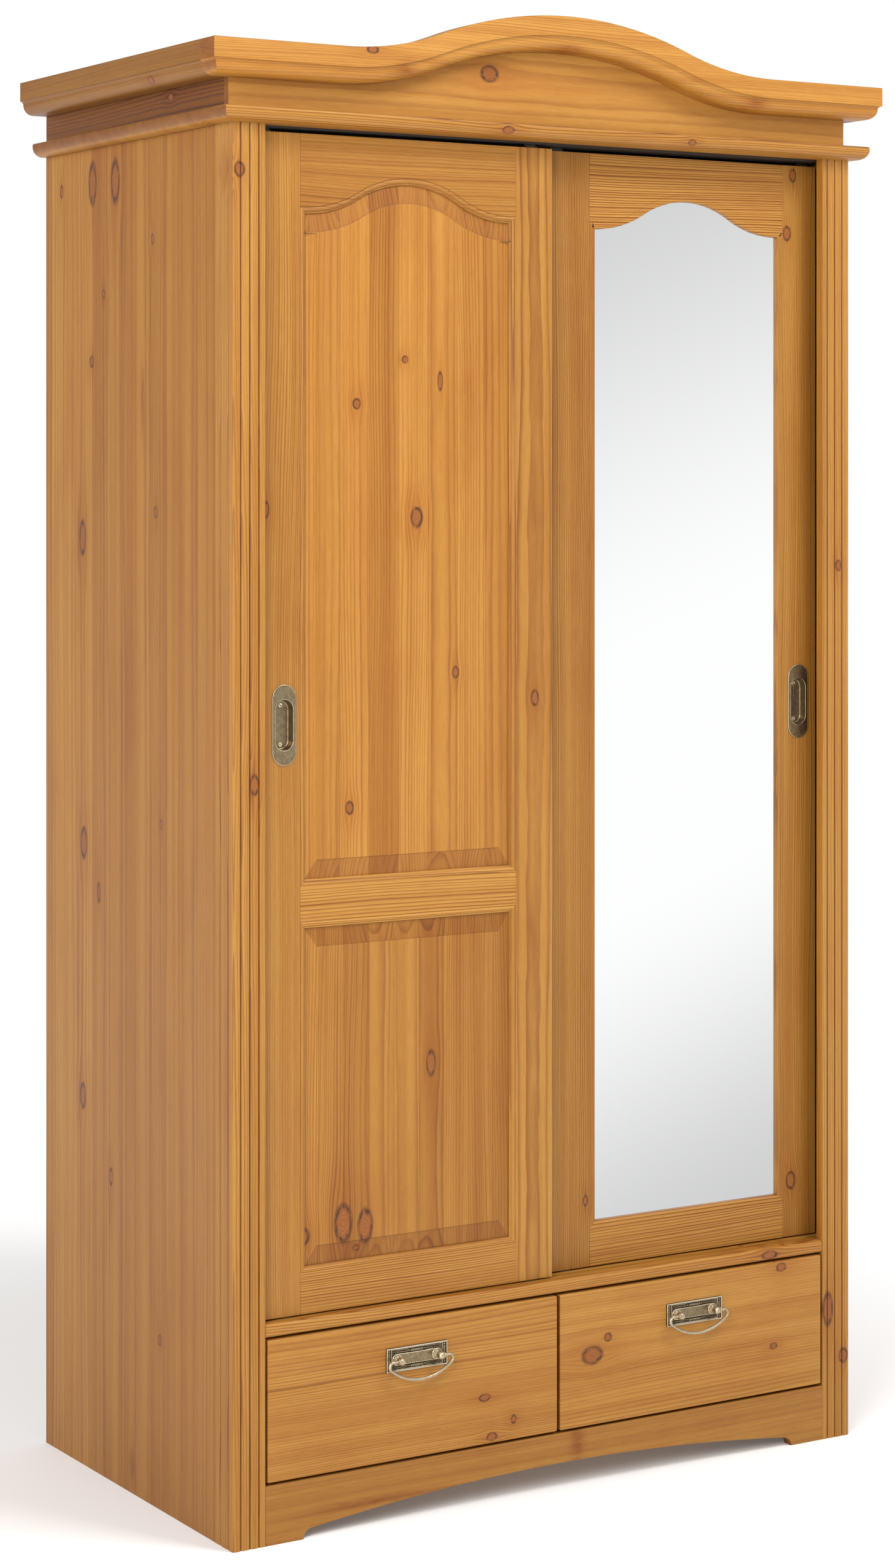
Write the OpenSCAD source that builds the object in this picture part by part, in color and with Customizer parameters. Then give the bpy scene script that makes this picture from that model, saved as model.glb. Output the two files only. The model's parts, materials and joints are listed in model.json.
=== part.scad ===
// Pine wardrobe with two sliding doors, two drawers and an arched crown.
// Millimetres. +Z is up and the front looks towards -Y. The origin is on the
// floor, under the middle of the whole piece. Inside the modules y = 0 is the
// front face of the corner posts; placed() moves it to the part's own frame.

/* [Carcass] */
// Width over the side panels
carcass_w = 1040; // [960:10:1200]
// Depth from the post fronts to the back edge
carcass_d = 591; // [540:1:700]
// Height to the underside of the top board
carcass_h = 1905; // [1850:5:1960]
// Thickness of the side panels
side_t = 20; // [18:1:24]
// Thickness of the inner boards
board_t = 18; // [16:1:20]
// Height of the plinth board
plinth_h = 80; // [74:1:90]
// Height of the drawer row
drawer_row_h = 198.5; // [180:0.5:230]

/* [Corner posts] */
// Width of a post seen from the front
post_w = 49.5; // [44:0.5:56]
// Thickness of the front leg of a post
post_t = 15; // [12:1:15]
// Depth of a post seen from the side
post_d = 50; // [44:1:60]
// Depth of the reeding grooves
groove_d = 2; // [1:0.5:3]

/* [Doors] */
// Thickness of the door frames
door_t = 18; // [16:1:20]
// Gap between the two door planes
door_gap = 4; // [3:0.5:6]
// Width of each door
door_w = 496; // [490:1:510]
// Face width of the stile on the left of each door
wide_stile = 88; // [80:1:96]
// Face width of the stile on the right of each door
narrow_stile = 61; // [55:1:70]
// Gap under a door, where its glides show
door_foot_gap = 2; // [1.5:0.5:4]
// Rise of the arch in the top rails
rail_rise = 45.5; // [30:0.5:55]

/* [Crown] */
// Height of the frieze at its ends
frieze_h = 41; // [30:1:60]
// Rise of the crown at the middle
crown_rise = 66; // [40:1:80]
// How far the cornice stands out over the frieze at the front
cornice_out = 40; // [34:1:46]
// How far the cornice stands out over the sides
cornice_side_out = 42; // [34:1:46]
// Height of the cornice section
cornice_h = 47.5; // [40:0.5:60]

/* [Handles] */
// Distance between the two posts of a drawer pull
pull_centres = 64; // [64, 96]
// Length of a flush pull
flush_l = 110; // [100:1:120]
// Width of a flush pull
flush_w = 37; // [34:1:40]

/* [Hidden] */
$fn = 48;

// Wood and metal tones
pine = [0.80, 0.56, 0.28];
pine_dark = [0.70, 0.45, 0.20];
pine_pale = [0.86, 0.68, 0.42];
old_brass = [0.36, 0.29, 0.20];
nylon = [0.72, 0.62, 0.48];
track_brown = [0.14, 0.10, 0.08];

// Carcass planes
half_w = carcass_w / 2;
inner_x = half_w - side_t;
post_x = half_w - post_w;
front_leg_clear = 1.5;
front_over = 27;
front_y = -(carcass_d - front_over) / 2;
rebate_w = 10;
back_t = 10;
back_y = carcass_d - back_t - 2;
floor_z0 = plinth_h + drawer_row_h;
floor_z = floor_z0 + board_t;
bottom_y = 18;
inner_y = 60;

// Door planes and heights
left_door_y = post_t + front_leg_clear;
right_door_y = left_door_y + door_t + door_gap;
side_clear = 3.5;
left_door_x = -inner_x + side_clear;
right_door_gap = 13.5;
right_door_x = inner_x - right_door_gap - door_w;
door_z0 = floor_z + door_foot_gap;
door_z1 = carcass_h - 8;
lip_w = 9.5;
lip_t = 6;
groove_w = 6;
tongue_t = 5.6;

// Rails of the doors, measured at the flat edge above or below the moulding
bottom_rail_z = 353.5;
middle_rail_z0 = 829.5;
middle_rail_z1 = 877;
top_rail_z = 1798;
bevel_w = 26;
rail_level = 10;

// Track in the top board and grooves in the floor board
track_y0 = post_t + 1;
track_y1 = inner_y + 1;
track_z0 = carcass_h - 3;
track_sink = 8;
channel_w = 8;
guide_w = 6;
foot_groove_d = 5;

// Drawers
drawer_z0 = plinth_h + 3.5;
drawer_z1 = floor_z0 - 3.5;
drawer_front_t = 20;
drawer_half_gap = 2;
drawer_side_gap = 3;
drawer_len = 500;
drawer_side_t = 12;
drawer_side_h = 170;
divider_t = 18;
drawer_slack = 4;
drawer_w = post_x - drawer_side_gap - drawer_half_gap;
drawer_mid = (post_x - drawer_side_gap + drawer_half_gap) / 2;

// Drawer pull
plate_w = 98;
plate_h = 33.5;
plate_t = 2.2;
plate_corner_r = 2;
pull_z = 222;
pull_y = -13;
bail_r = 2.3;
bail_half = 50.5;
bail_drop = 28;
pin_clear = 0.08;
post_head_r = 5.6;
post_head_l = 10;

// Flush pull
flush_z = 1097;
cup_l = 68.6;
cup_w = 26.7;
cup_wall = 1;
cup_d = 11;
flush_t = 1.6;
flush_inset = 63;
flush_inset_right = 33;
flush_screw_r = 1.5;
flush_screw_z = 27;

// Height of an ogee arch over x: one arc over the middle and a reversed arc on
// each side, meeting on a common tangent at the knee, level beyond the span.
function ogee(x, span, knee, rise) =
    let (turn = 2 * atan(rise / span), a = abs(x),
        r_mid = knee / sin(turn), r_end = (span - knee) / sin(turn))
    a >= span ? 0
    : a <= knee ? rise - r_mid + sqrt(r_mid * r_mid - a * a)
    : r_end - sqrt(r_end * r_end - (span - a) * (span - a));

// Points along a quarter circle, from angle a0 to a1 about a centre
function arc(cx, cz, r, a0, a1, steps = 8) =
    [for (i = [0 : steps]) let (a = a0 + (a1 - a0) * i / steps)
        [cx + r * cos(a), cz + r * sin(a)]];

crown_span = 360;
crown_knee = 205;
function crown_wave(x) = ogee(x, crown_span, crown_knee, crown_rise);

// Cornice section as [distance out from the frieze face, height]: level
// underside, quarter round, small cove, upright fascia.
function cornice_section(out, back) = concat(
    [[-back, cornice_h], [-back, 0]],
    arc(out - 20, 15, 15, -90, 0),
    arc(out, 15, 5, 180, 90, 4),
    [[out, cornice_h]]);

module placed() {
    translate([0, front_y, 0]) children();
}

module block(lo, hi) {
    translate(lo) cube(hi - lo);
}

// An outline in x and z, given thickness from y0 back to y1
module upright(outline, y0, y1) {
    translate([0, y1, 0]) rotate([90, 0, 0]) linear_extrude(y1 - y0) polygon(outline);
}

// Slot with round ends, long way up, given thickness from y0 to y1
module slot_solid(l, w, y0, y1) {
    translate([0, y1, 0]) rotate([90, 0, 0]) linear_extrude(y1 - y0) {
        for (s = [-1, 1]) translate([0, s * (l - w) / 2]) circle(d = w);
        square([w, l - w], center = true);
    }
}

// Solid between an outline at y0 and another with as many points at y1
module loft(a, y0, b, y1) {
    n = len(a);
    polyhedron(
        points = concat([for (p = a) [p[0], y0, p[1]]], [for (p = b) [p[0], y1, p[1]]]),
        faces = concat(
            [[for (i = [n - 1 : -1 : 0]) i]],
            [[for (i = [0 : n - 1]) n + i]],
            [for (i = [0 : n - 1]) [i, (i + 1) % n, n + i]],
            [for (i = [0 : n - 1]) [(i + 1) % n, n + (i + 1) % n, n + i]]));
}

// ---- carcass ----

// Grooves of a post: distances from its outer edge and back from its front
front_grooves = [12.5, 26.2, 40];
side_grooves = [15, 37];

// Reeded corner post for the right; the left one is its mirror image
module corner_post() {
    difference() {
        linear_extrude(carcass_h) polygon([
            [post_x, 0], [half_w, 0], [half_w, post_d],
            [inner_x, post_d], [inner_x, post_t], [post_x, post_t]]);
        for (x = front_grooves)
            translate([half_w - x, 0, 0]) rotate(45)
                cube([groove_d * 2, groove_d * 2, carcass_h * 3], center = true);
        for (y = side_grooves)
            translate([half_w, y, 0]) rotate(45)
                cube([groove_d * 2, groove_d * 2, carcass_h * 3], center = true);
    }
}

module post_left() {
    placed() color(pine) mirror([1, 0, 0]) corner_post();
}

module post_right() {
    placed() color(pine) corner_post();
}

// Side panel behind the post, rebated at the back for the back boards
module side_board() {
    linear_extrude(carcass_h) polygon([
        [inner_x, post_d], [half_w, post_d], [half_w, carcass_d],
        [half_w - rebate_w, carcass_d], [half_w - rebate_w, back_y], [inner_x, back_y]]);
}

module side_panel_left() {
    placed() color(pine_dark) mirror([1, 0, 0]) side_board();
}

module side_panel_right() {
    placed() color(pine_dark) side_board();
}

foot_x = 412;
cove_r = 13.5;
arch_rise = 24.5;
arch_half = foot_x - cove_r;
arch_r = (arch_half * arch_half + arch_rise * arch_rise) / (2 * arch_rise);
function arch_z(x) = cove_r + arch_rise - arch_r + sqrt(arch_r * arch_r - x * x);

module plinth_board() {
    steps = 24;
    placed() color(pine_dark) upright(concat(
        [[-post_x, plinth_h], [-post_x, 0]],
        arc(-arch_half, 0, cove_r, 180, 90),
        [for (i = [1 : steps - 1]) let (x = arch_half * (2 * i / steps - 1)) [x, arch_z(x)]],
        arc(arch_half, 0, cove_r, 90, 0),
        [[post_x, 0], [post_x, plinth_h]]), 0, bottom_y);
}

module rear_plinth() {
    placed() color(pine_pale)
        block([-inner_x, back_y - board_t, 0], [inner_x, back_y, plinth_h - board_t]);
}

module bottom_board() {
    placed() color(pine_pale)
        block([-inner_x, bottom_y, plinth_h - board_t], [inner_x, back_y, plinth_h]);
}

module drawer_divider() {
    placed() color(pine_pale)
        block([-divider_t / 2, drawer_front_t, plinth_h], [divider_t / 2, back_y, floor_z0]);
}

// Floor of the hanging space; its rounded front edge shows between the posts
module floor_board() {
    nose = 5;
    placed() color(pine) difference() {
        union() {
            block([-inner_x, post_t, floor_z0], [inner_x, back_y, floor_z]);
            translate([-post_x, 0, floor_z0]) rotate([90, 0, 90]) linear_extrude(2 * post_x)
                polygon(concat(
                    arc(nose, nose, nose, 180, 270),
                    [[post_t, 0], [post_t, board_t]],
                    arc(nose, board_t - nose, nose, 90, 180)));
        }
        for (y = [left_door_y, right_door_y])
            block([-inner_x - 1, y + (door_t - channel_w) / 2, floor_z - foot_groove_d],
                [inner_x + 1, y + (door_t + channel_w) / 2, floor_z + 1]);
    }
}

top_t = 20;
top_over = 22;
nose_r = 15;

arris_r = 3;

// Edge of the top board as [distance out from the carcass, height]
nose_edge = concat(
    arc(top_over - nose_r, nose_r, nose_r, -90, 0),
    arc(top_over - arris_r, top_t - arris_r, arris_r, 0, 90, 4));

// Top board: nosed along the front and both ends, grooved below for the track
module top_board() {
    placed() color(pine) translate([0, 0, carcass_h]) difference() {
        intersection() {
            translate([-carcass_w, 0, 0]) rotate([90, 0, 90]) linear_extrude(2 * carcass_w)
                polygon(concat([[carcass_d, top_t], [carcass_d, 0]],
                    [for (p = nose_edge) [-p[0], p[1]]]));
            translate([0, carcass_d, 0]) rotate([90, 0, 0]) linear_extrude(2 * carcass_d)
                polygon(concat(
                    [for (p = nose_edge) [half_w + p[0], p[1]]],
                    [for (i = [len(nose_edge) - 1 : -1 : 0])
                        [-half_w - nose_edge[i][0], nose_edge[i][1]]]));
        }
        block([-inner_x, track_y0, -1], [inner_x, track_y1, track_sink]);
    }
}

back_count = 9;

// Upright tongued and grooved boards, side by side in the rebates
module back_boards() {
    joint_gap = 0.6;
    pitch = 2 * (half_w - rebate_w) / back_count;
    tongue = 4;
    third = back_t / 3;
    placed() color(pine_pale) for (i = [0 : back_count - 1]) {
        x0 = -half_w + rebate_w + i * pitch + joint_gap / 2;
        x1 = x0 + pitch - joint_gap;
        last = i == back_count - 1;
        translate([0, back_y, plinth_h - board_t])
            linear_extrude(carcass_h - plinth_h + board_t)
                polygon(concat(
                    [[x0, 0], [x1, 0]],
                    last ? [] : [[x1, third], [x1 + tongue, third],
                        [x1 + tongue, 2 * third], [x1, 2 * third]],
                    [[x1, back_t], [x0, back_t]],
                    i == 0 ? [] : [[x0, 2 * third + 0.3], [x0 + tongue, 2 * third + 0.3],
                        [x0 + tongue, third - 0.3], [x0, third - 0.3]]));
    }
}

// Twin channel for the guides on top of the doors
module door_top_track() {
    roof_t = 2;
    placed() color(track_brown) difference() {
        block([-inner_x, track_y0, track_z0], [inner_x, track_y1, carcass_h + track_sink]);
        for (y = [left_door_y, right_door_y])
            block([-inner_x - 1, y + (door_t - channel_w) / 2, track_z0 - 1],
                [inner_x + 1, y + (door_t + channel_w) / 2, carcass_h + track_sink - roof_t]);
    }
}

shelf_z = 1640;

module hat_shelf() {
    placed() color(pine_pale)
        block([-inner_x, inner_y + 6, shelf_z], [inner_x, back_y, shelf_z + board_t]);
}

module shelf_battens() {
    batten = [18, 440, 24];
    placed() color(pine_pale) for (s = [-1, 1])
        translate([s * (inner_x - batten[0] / 2), (inner_y + back_y) / 2, shelf_z - batten[2] / 2])
            cube(batten, center = true);
}

rail_r = 12.5;
rail_y = 320;
rail_z = 1575;
socket_t = 3;

module hanging_rail() {
    placed() color(pine_pale) translate([0, rail_y, rail_z]) rotate([0, 90, 0])
        cylinder(r = rail_r, h = 2 * (inner_x - socket_t), center = true);
}

// Round sockets: a flange on each side panel with a collar round the rail's end
module rail_sockets() {
    placed() color(pine_dark) for (s = [-1, 1])
        translate([s * inner_x, rail_y, rail_z]) rotate([0, -90 * s, 0]) {
            cylinder(r = 27, h = socket_t);
            translate([0, 0, socket_t]) difference() {
                cylinder(r = rail_r + 4.5, h = 14);
                translate([0, 0, -1]) cylinder(r = rail_r, h = 16);
            }
        }
}

guide_h = 36;

// Filling strips that keep the drawers straight beside the posts
module drawer_guides() {
    drawer_outer = drawer_mid + drawer_w / 2 - 1.5;
    placed() color(pine_pale) for (s = [-1, 1]) mirror([s < 0 ? 1 : 0, 0, 0])
        block([drawer_outer + 1, post_d, plinth_h], [inner_x, back_y, plinth_h + guide_h]);
}

// ---- crown ----

frieze_t = 12.5;
frieze_y = cornice_out - front_over;
frieze_z = carcass_h + top_t;
cornice_z = frieze_z + frieze_h;
cornice_back = 3;
cornice_side_back = 6;
cornice_y1 = frieze_y + cornice_back;

// The outline of the frieze rises with the crown
module frieze_front() {
    steps = 48;
    placed() color(pine) upright(concat(
        [[-half_w, frieze_z], [half_w, frieze_z], [half_w, cornice_z]],
        [for (i = [0 : steps]) let (x = crown_span * (1 - 2 * i / steps))
            [x, cornice_z + crown_wave(x)]],
        [[-half_w, cornice_z]]), frieze_y, frieze_y + frieze_t);
}

module side_frieze() {
    block([inner_x, frieze_y + frieze_t, frieze_z], [half_w, carcass_d, cornice_z]);
}

module frieze_left() {
    placed() color(pine_dark) mirror([1, 0, 0]) side_frieze();
}

module frieze_right() {
    placed() color(pine_dark) side_frieze();
}

// Front cornice: one thick board whose moulded section rides up over the arch.
// Rings of the section run from mitre to mitre; the moulding turns round each
// corner to a last ring of its outer points on the plane of the back face.
module cornice_front() {
    steps = 48;
    section = cornice_section(cornice_out, cornice_back);
    m = len(section);
    last = steps + 2;
    turn_out = cornice_side_out - cornice_out;
    outer = [for (j = [2 : m - 1]) section[j]];
    left = (last + 1) * m - 2;
    right = left + m - 2;
    function at_mitre(s) = [for (p = section)
        [s * (half_w + p[0] + turn_out), frieze_y - p[0], cornice_z + p[1]]];
    function at_back(s) = [for (p = outer)
        [s * (half_w + p[0] + turn_out), cornice_y1, cornice_z + p[1]]];
    placed() color(pine) polyhedron(
        points = concat(at_mitre(-1),
            [for (i = [0 : steps]) let (x = crown_span * (2 * i / steps - 1))
                for (p = section) [x, frieze_y - p[0], cornice_z + p[1] + crown_wave(x)]],
            at_mitre(1), at_back(-1), at_back(1)),
        faces = concat(
            [concat([for (j = [m - 1 : -1 : 2]) left + j], [1, 0])],
            [concat([last * m, last * m + 1], [for (j = [2 : m - 1]) right + j])],
            [[left + 2, 2, 1], [left + m - 1, 0, m - 1]],
            [[last * m + 1, last * m + 2, right + 2],
                [last * m + m - 1, last * m, right + m - 1]],
            [for (j = [2 : m - 2]) [left + j, left + j + 1, j]],
            [for (j = [2 : m - 2]) [left + j + 1, j + 1, j]],
            [for (j = [2 : m - 2]) [last * m + j, last * m + j + 1, right + j]],
            [for (j = [2 : m - 2]) [last * m + j + 1, right + j + 1, right + j]],
            [for (i = [0 : last - 1]) for (j = [0 : m - 1])
                [i * m + j, i * m + (j + 1) % m, (i + 1) * m + j]],
            [for (i = [0 : last - 1]) for (j = [0 : m - 1])
                [(i + 1) * m + j, i * m + (j + 1) % m, (i + 1) * m + (j + 1) % m]]));
}

module side_cornice() {
    translate([half_w, carcass_d, cornice_z]) rotate([90, 0, 0])
        linear_extrude(carcass_d - cornice_y1)
            polygon(cornice_section(cornice_side_out, cornice_side_back));
}

module cornice_left() {
    placed() color(pine_dark) mirror([1, 0, 0]) side_cornice();
}

module cornice_right() {
    placed() color(pine_dark) side_cornice();
}

// Glue blocks: two in the corners of the crown and two along its front
module crown_blocks() {
    leg = 30;
    y0 = frieze_y + frieze_t;
    placed() color(pine_pale) {
        for (s = [-1, 1]) mirror([s < 0 ? 1 : 0, 0, 0]) {
            translate([0, 0, frieze_z]) linear_extrude(frieze_h - 2)
                polygon([[inner_x, y0], [inner_x, y0 + leg], [inner_x - leg, y0]]);
            translate([120, y0, frieze_z]) rotate([90, 0, 90]) linear_extrude(80)
                polygon([[0, 0], [leg, 0], [0, leg]]);
        }
    }
}

// ---- doors ----

field_x0 = wide_stile;
field_x1 = door_w - narrow_stile;
field_mid = (field_x0 + field_x1) / 2;
field_span = (field_x1 - field_x0) / 2 - rail_level;
field_knee = field_span * 0.51;
function rail_wave(x) = ogee(x - field_mid, field_span, field_knee, rail_rise);

// Outline of an opening, from x0 to x1 and z0 up, under the arch lowered by drop
function arched(x0, x1, z0, drop, steps = 24) = concat(
    [[x0, z0], [x1, z0]],
    [for (i = [0 : steps]) let (x = x1 + (x0 - x1) * i / steps)
        [x, top_rail_z + rail_wave(x) - drop]]);

function level(x0, x1, z0, z1) = [[x0, z0], [x1, z0], [x1, z1], [x0, z1]];

module in_left_door() {
    placed() translate([left_door_x, left_door_y, 0]) children();
}

module in_right_door() {
    placed() translate([right_door_x, right_door_y, 0]) children();
}

// Seat of a flush pull and its two screws, cut from a stile
module flush_seat(x) {
    translate([x, 0, flush_z]) {
        slot_solid(cup_l + 2 * cup_wall, cup_w + 2 * cup_wall, -1, cup_d + cup_wall);
        for (s = [-1, 1]) translate([0, door_t - 1.5, s * flush_screw_z]) rotate([90, 0, 0])
            cylinder(r = flush_screw_r, h = door_t);
    }
}

// Upright of a door frame. Lips run along its inner edge over each opening
// given in gaps, at the front and, where rear is true, behind the panels too.
module stile(x0, x1, lip_side, gaps, rear) {
    block([x0, 0, door_z0], [x1, door_t, door_z1]);
    lip_x0 = lip_side > 0 ? x1 : x0 - lip_w;
    for (g = gaps) {
        block([lip_x0, 0, g[0]], [lip_x0 + lip_w, lip_t, g[1]]);
        if (rear) block([lip_x0, lip_t + groove_w, g[0]], [lip_x0 + lip_w, door_t, g[1]]);
    }
}

// Level rail with a lip above it, or below it where down is true
module rail(z0, z1, up, down, rear) {
    block([field_x0, 0, z0], [field_x1, door_t, z1]);
    x0 = field_x0 + lip_w;
    x1 = field_x1 - lip_w;
    for (e = concat(up ? [[z1, z1 + lip_w]] : [], down ? [[z0 - lip_w, z0]] : [])) {
        block([x0, 0, e[0]], [x1, lip_t, e[1]]);
        if (rear) block([x0, lip_t + groove_w, e[0]], [x1, door_t, e[1]]);
    }
}

// Top rail: arched below, with its lip following the arch
module arched_rail(rear) {
    steps = 32;
    xs = [for (i = [0 : steps]) field_x0 + (field_x1 - field_x0) * i / steps];
    upright(concat([[field_x1, door_z1], [field_x0, door_z1]],
        [for (x = xs) [x, top_rail_z + rail_wave(x)]]), 0, door_t);
    lip_xs = [for (i = [0 : steps])
        field_x0 + lip_w + (field_x1 - field_x0 - 2 * lip_w) * i / steps];
    lip = concat([for (x = lip_xs) [x, top_rail_z + rail_wave(x)]],
        [for (i = [steps : -1 : 0]) [lip_xs[i], top_rail_z + rail_wave(lip_xs[i]) - lip_w]]);
    upright(lip, 0, lip_t);
    if (rear) upright(lip, lip_t + groove_w, door_t);
}

// Raised panel: a tongue all round held in the grooves, and a bevelled field
module raised_panel(edge, slope, field) {
    tongue_y = lip_t + (groove_w - tongue_t) / 2;
    upright(edge, tongue_y, tongue_y + tongue_t);
    loft(field, 2.5, slope, tongue_y + 0.01);
}

left_gaps = [[bottom_rail_z, middle_rail_z0], [middle_rail_z1, top_rail_z]];
right_gaps = [[bottom_rail_z, top_rail_z]];
panel_slack = 1;

module left_door_outer_stile() {
    in_left_door() color(pine) difference() {
        stile(0, wide_stile, 1, left_gaps, true);
        flush_seat(flush_inset);
    }
}

module left_door_inner_stile() {
    in_left_door() color(pine) stile(field_x1, door_w, -1, left_gaps, true);
}

module left_door_top_rail() {
    in_left_door() color(pine) arched_rail(true);
}

module left_door_middle_rail() {
    in_left_door() color(pine) rail(middle_rail_z0, middle_rail_z1, true, true, true);
}

module left_door_bottom_rail() {
    in_left_door() color(pine) rail(door_z0, bottom_rail_z, true, false, true);
}

module left_door_upper_panel() {
    x0 = field_x0 + panel_slack;
    x1 = field_x1 - panel_slack;
    z0 = middle_rail_z1 + panel_slack;
    in_left_door() color(pine_pale) raised_panel(
        arched(x0, x1, z0, panel_slack),
        arched(x0 + lip_w, x1 - lip_w, z0 + lip_w, panel_slack + lip_w),
        arched(x0 + bevel_w, x1 - bevel_w, z0 + bevel_w + 7, panel_slack + bevel_w + 9));
}

module left_door_lower_panel() {
    x0 = field_x0 + panel_slack;
    x1 = field_x1 - panel_slack;
    z0 = bottom_rail_z + panel_slack;
    z1 = middle_rail_z0 - panel_slack;
    rim = bevel_w + 8;
    in_left_door() color(pine_pale) raised_panel(
        level(x0, x1, z0, z1),
        level(x0 + lip_w, x1 - lip_w, z0 + lip_w, z1 - lip_w),
        level(x0 + bevel_w, x1 - bevel_w, z0 + rim, z1 - rim));
}

// Oval flush pull: a flat plate with a deep cup pressed into it
module flush_pull(x) {
    translate([x, 0, flush_z]) difference() {
        union() {
            slot_solid(flush_l, flush_w, -flush_t, 0);
            slot_solid(cup_l + 2 * cup_wall, cup_w + 2 * cup_wall, -0.1, cup_d + cup_wall);
        }
        slot_solid(cup_l, cup_w, -flush_t - 1, cup_d);
        for (s = [-1, 1]) translate([0, cup_d + 2, s * flush_screw_z]) rotate([90, 0, 0])
            cylinder(r = flush_screw_r, h = 4);
    }
}

module pull_screws(x) {
    for (s = [-1, 1]) translate([x, cup_d, flush_z + s * flush_screw_z]) {
        rotate([90, 0, 0]) cylinder(r = 3, h = 1.4);
        rotate([-90, 0, 0]) cylinder(r = flush_screw_r, h = door_t - 1.5 - cup_d);
    }
}

module left_door_flush_pull() {
    in_left_door() color(old_brass) flush_pull(flush_inset);
}

module left_door_pull_screws() {
    in_left_door() color(old_brass) pull_screws(flush_inset);
}

// Blades on top of a door that run in the track
module top_guides(xs) {
    for (x = xs)
        translate([x, door_t / 2, door_z1]) {
            translate([0, 0, 1]) cube([18, door_t - 3, 2], center = true);
            translate([0, 0, 6]) cube([18, guide_w, 10], center = true);
        }
}

// Nylon glides under a door: a pad on the floor board and a keel in its groove
module glides(xs) {
    slack = 0.3;
    for (x = xs) {
        block([x - 8.5, 1.5, floor_z + slack], [x + 8.5, door_t - 1.5, door_z0]);
        block([x - 8.5, (door_t - guide_w) / 2, floor_z - foot_groove_d + 1],
            [x + 8.5, (door_t + guide_w) / 2, floor_z + slack + 0.1]);
    }
}

module left_door_top_guides() {
    in_left_door() color(track_brown) top_guides([34, door_w - 34]);
}

module left_door_glides() {
    in_left_door() color(nylon) glides([68, door_w - 34]);
}

module right_door_inner_stile() {
    in_right_door() color(pine) stile(0, wide_stile, 1, right_gaps, false);
}

module right_door_outer_stile() {
    in_right_door() color(pine) difference() {
        stile(field_x1, door_w, -1, right_gaps, false);
        flush_seat(door_w - flush_inset_right);
    }
}

module right_door_top_rail() {
    in_right_door() color(pine) arched_rail(false);
}

module right_door_bottom_rail() {
    in_right_door() color(pine) rail(door_z0, bottom_rail_z, true, false, false);
}

mirror_t = 4;
backing_t = 6;

module mirror_glass() {
    in_right_door() color("lightblue") upright(
        arched(field_x0 + panel_slack, field_x1 - panel_slack, bottom_rail_z + panel_slack,
            panel_slack), lip_t, lip_t + mirror_t);
}

module mirror_backing() {
    in_right_door() color(pine_pale) upright(
        arched(field_x0 + panel_slack, field_x1 - panel_slack, bottom_rail_z + panel_slack,
            panel_slack), lip_t + mirror_t, lip_t + mirror_t + backing_t);
}

module right_door_flush_pull() {
    in_right_door() color(old_brass) flush_pull(door_w - flush_inset_right);
}

module right_door_pull_screws() {
    in_right_door() color(old_brass) pull_screws(door_w - flush_inset_right);
}

module right_door_top_guides() {
    in_right_door() color(track_brown) top_guides([34, door_w - 22]);
}

module right_door_glides() {
    in_right_door() color(nylon) glides([46, door_w - 22]);
}

// ---- drawers, each drawn for the right and mirrored for the left ----

module at_side(s) {
    placed() mirror([s < 0 ? 1 : 0, 0, 0]) children();
}

box_x0 = divider_t / 2 + drawer_slack;
box_x1 = drawer_mid + drawer_w / 2 - 1.5;
box_z0 = plinth_h + 0.5;
box_y1 = drawer_front_t + drawer_len;

// Front with its arrises rounded and two holes for the pull's posts
module drawer_front(s) {
    r = 3;
    x0 = drawer_half_gap;
    x1 = x0 + drawer_w;
    at_side(s) color(pine) difference() {
        translate([x0, 0, drawer_z0]) rotate([90, 0, 90]) linear_extrude(drawer_w)
            polygon(concat(
                arc(r, r, r, 180, 270, 4),
                [[drawer_front_t, 0], [drawer_front_t, drawer_z1 - drawer_z0]],
                arc(r, drawer_z1 - drawer_z0 - r, r, 90, 180, 4)));
        for (p = [-1, 1]) translate([drawer_mid + p * pull_centres / 2, -1, pull_z])
            rotate([-90, 0, 0]) cylinder(r = 2.5, h = drawer_front_t + 2);
    }
}

module drawer_sides(s) {
    at_side(s) color(pine_pale) for (x = [box_x0, box_x1 - drawer_side_t])
        block([x, drawer_front_t, box_z0], [x + drawer_side_t, box_y1, box_z0 + drawer_side_h]);
}

module drawer_back(s) {
    at_side(s) color(pine_pale)
        block([box_x0 + drawer_side_t, box_y1 - drawer_side_t, box_z0 + 12],
            [box_x1 - drawer_side_t, box_y1, box_z0 + drawer_side_h - 10]);
}

module drawer_bottom(s) {
    at_side(s) color(pine_pale)
        block([box_x0 + drawer_side_t, drawer_front_t, box_z0 + 7],
            [box_x1 - drawer_side_t, box_y1, box_z0 + 12]);
}

// Back plate of a drawer pull, its corners slightly rounded
module pull_plate(s) {
    a = plate_w / 2 - plate_corner_r;
    b = plate_h / 2 - plate_corner_r;
    at_side(s) color(old_brass) difference() {
        translate([drawer_mid, 0, pull_z]) upright(concat(
            arc(a, b, plate_corner_r, 0, 90, 4), arc(-a, b, plate_corner_r, 90, 180, 4),
            arc(-a, -b, plate_corner_r, 180, 270, 4), arc(a, -b, plate_corner_r, 270, 360, 4)),
            -plate_t, 0);
        for (p = [-1, 1]) translate([drawer_mid + p * pull_centres / 2, 1, pull_z])
            rotate([90, 0, 0]) cylinder(r = 2.5, h = plate_t + 2);
    }
}

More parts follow.
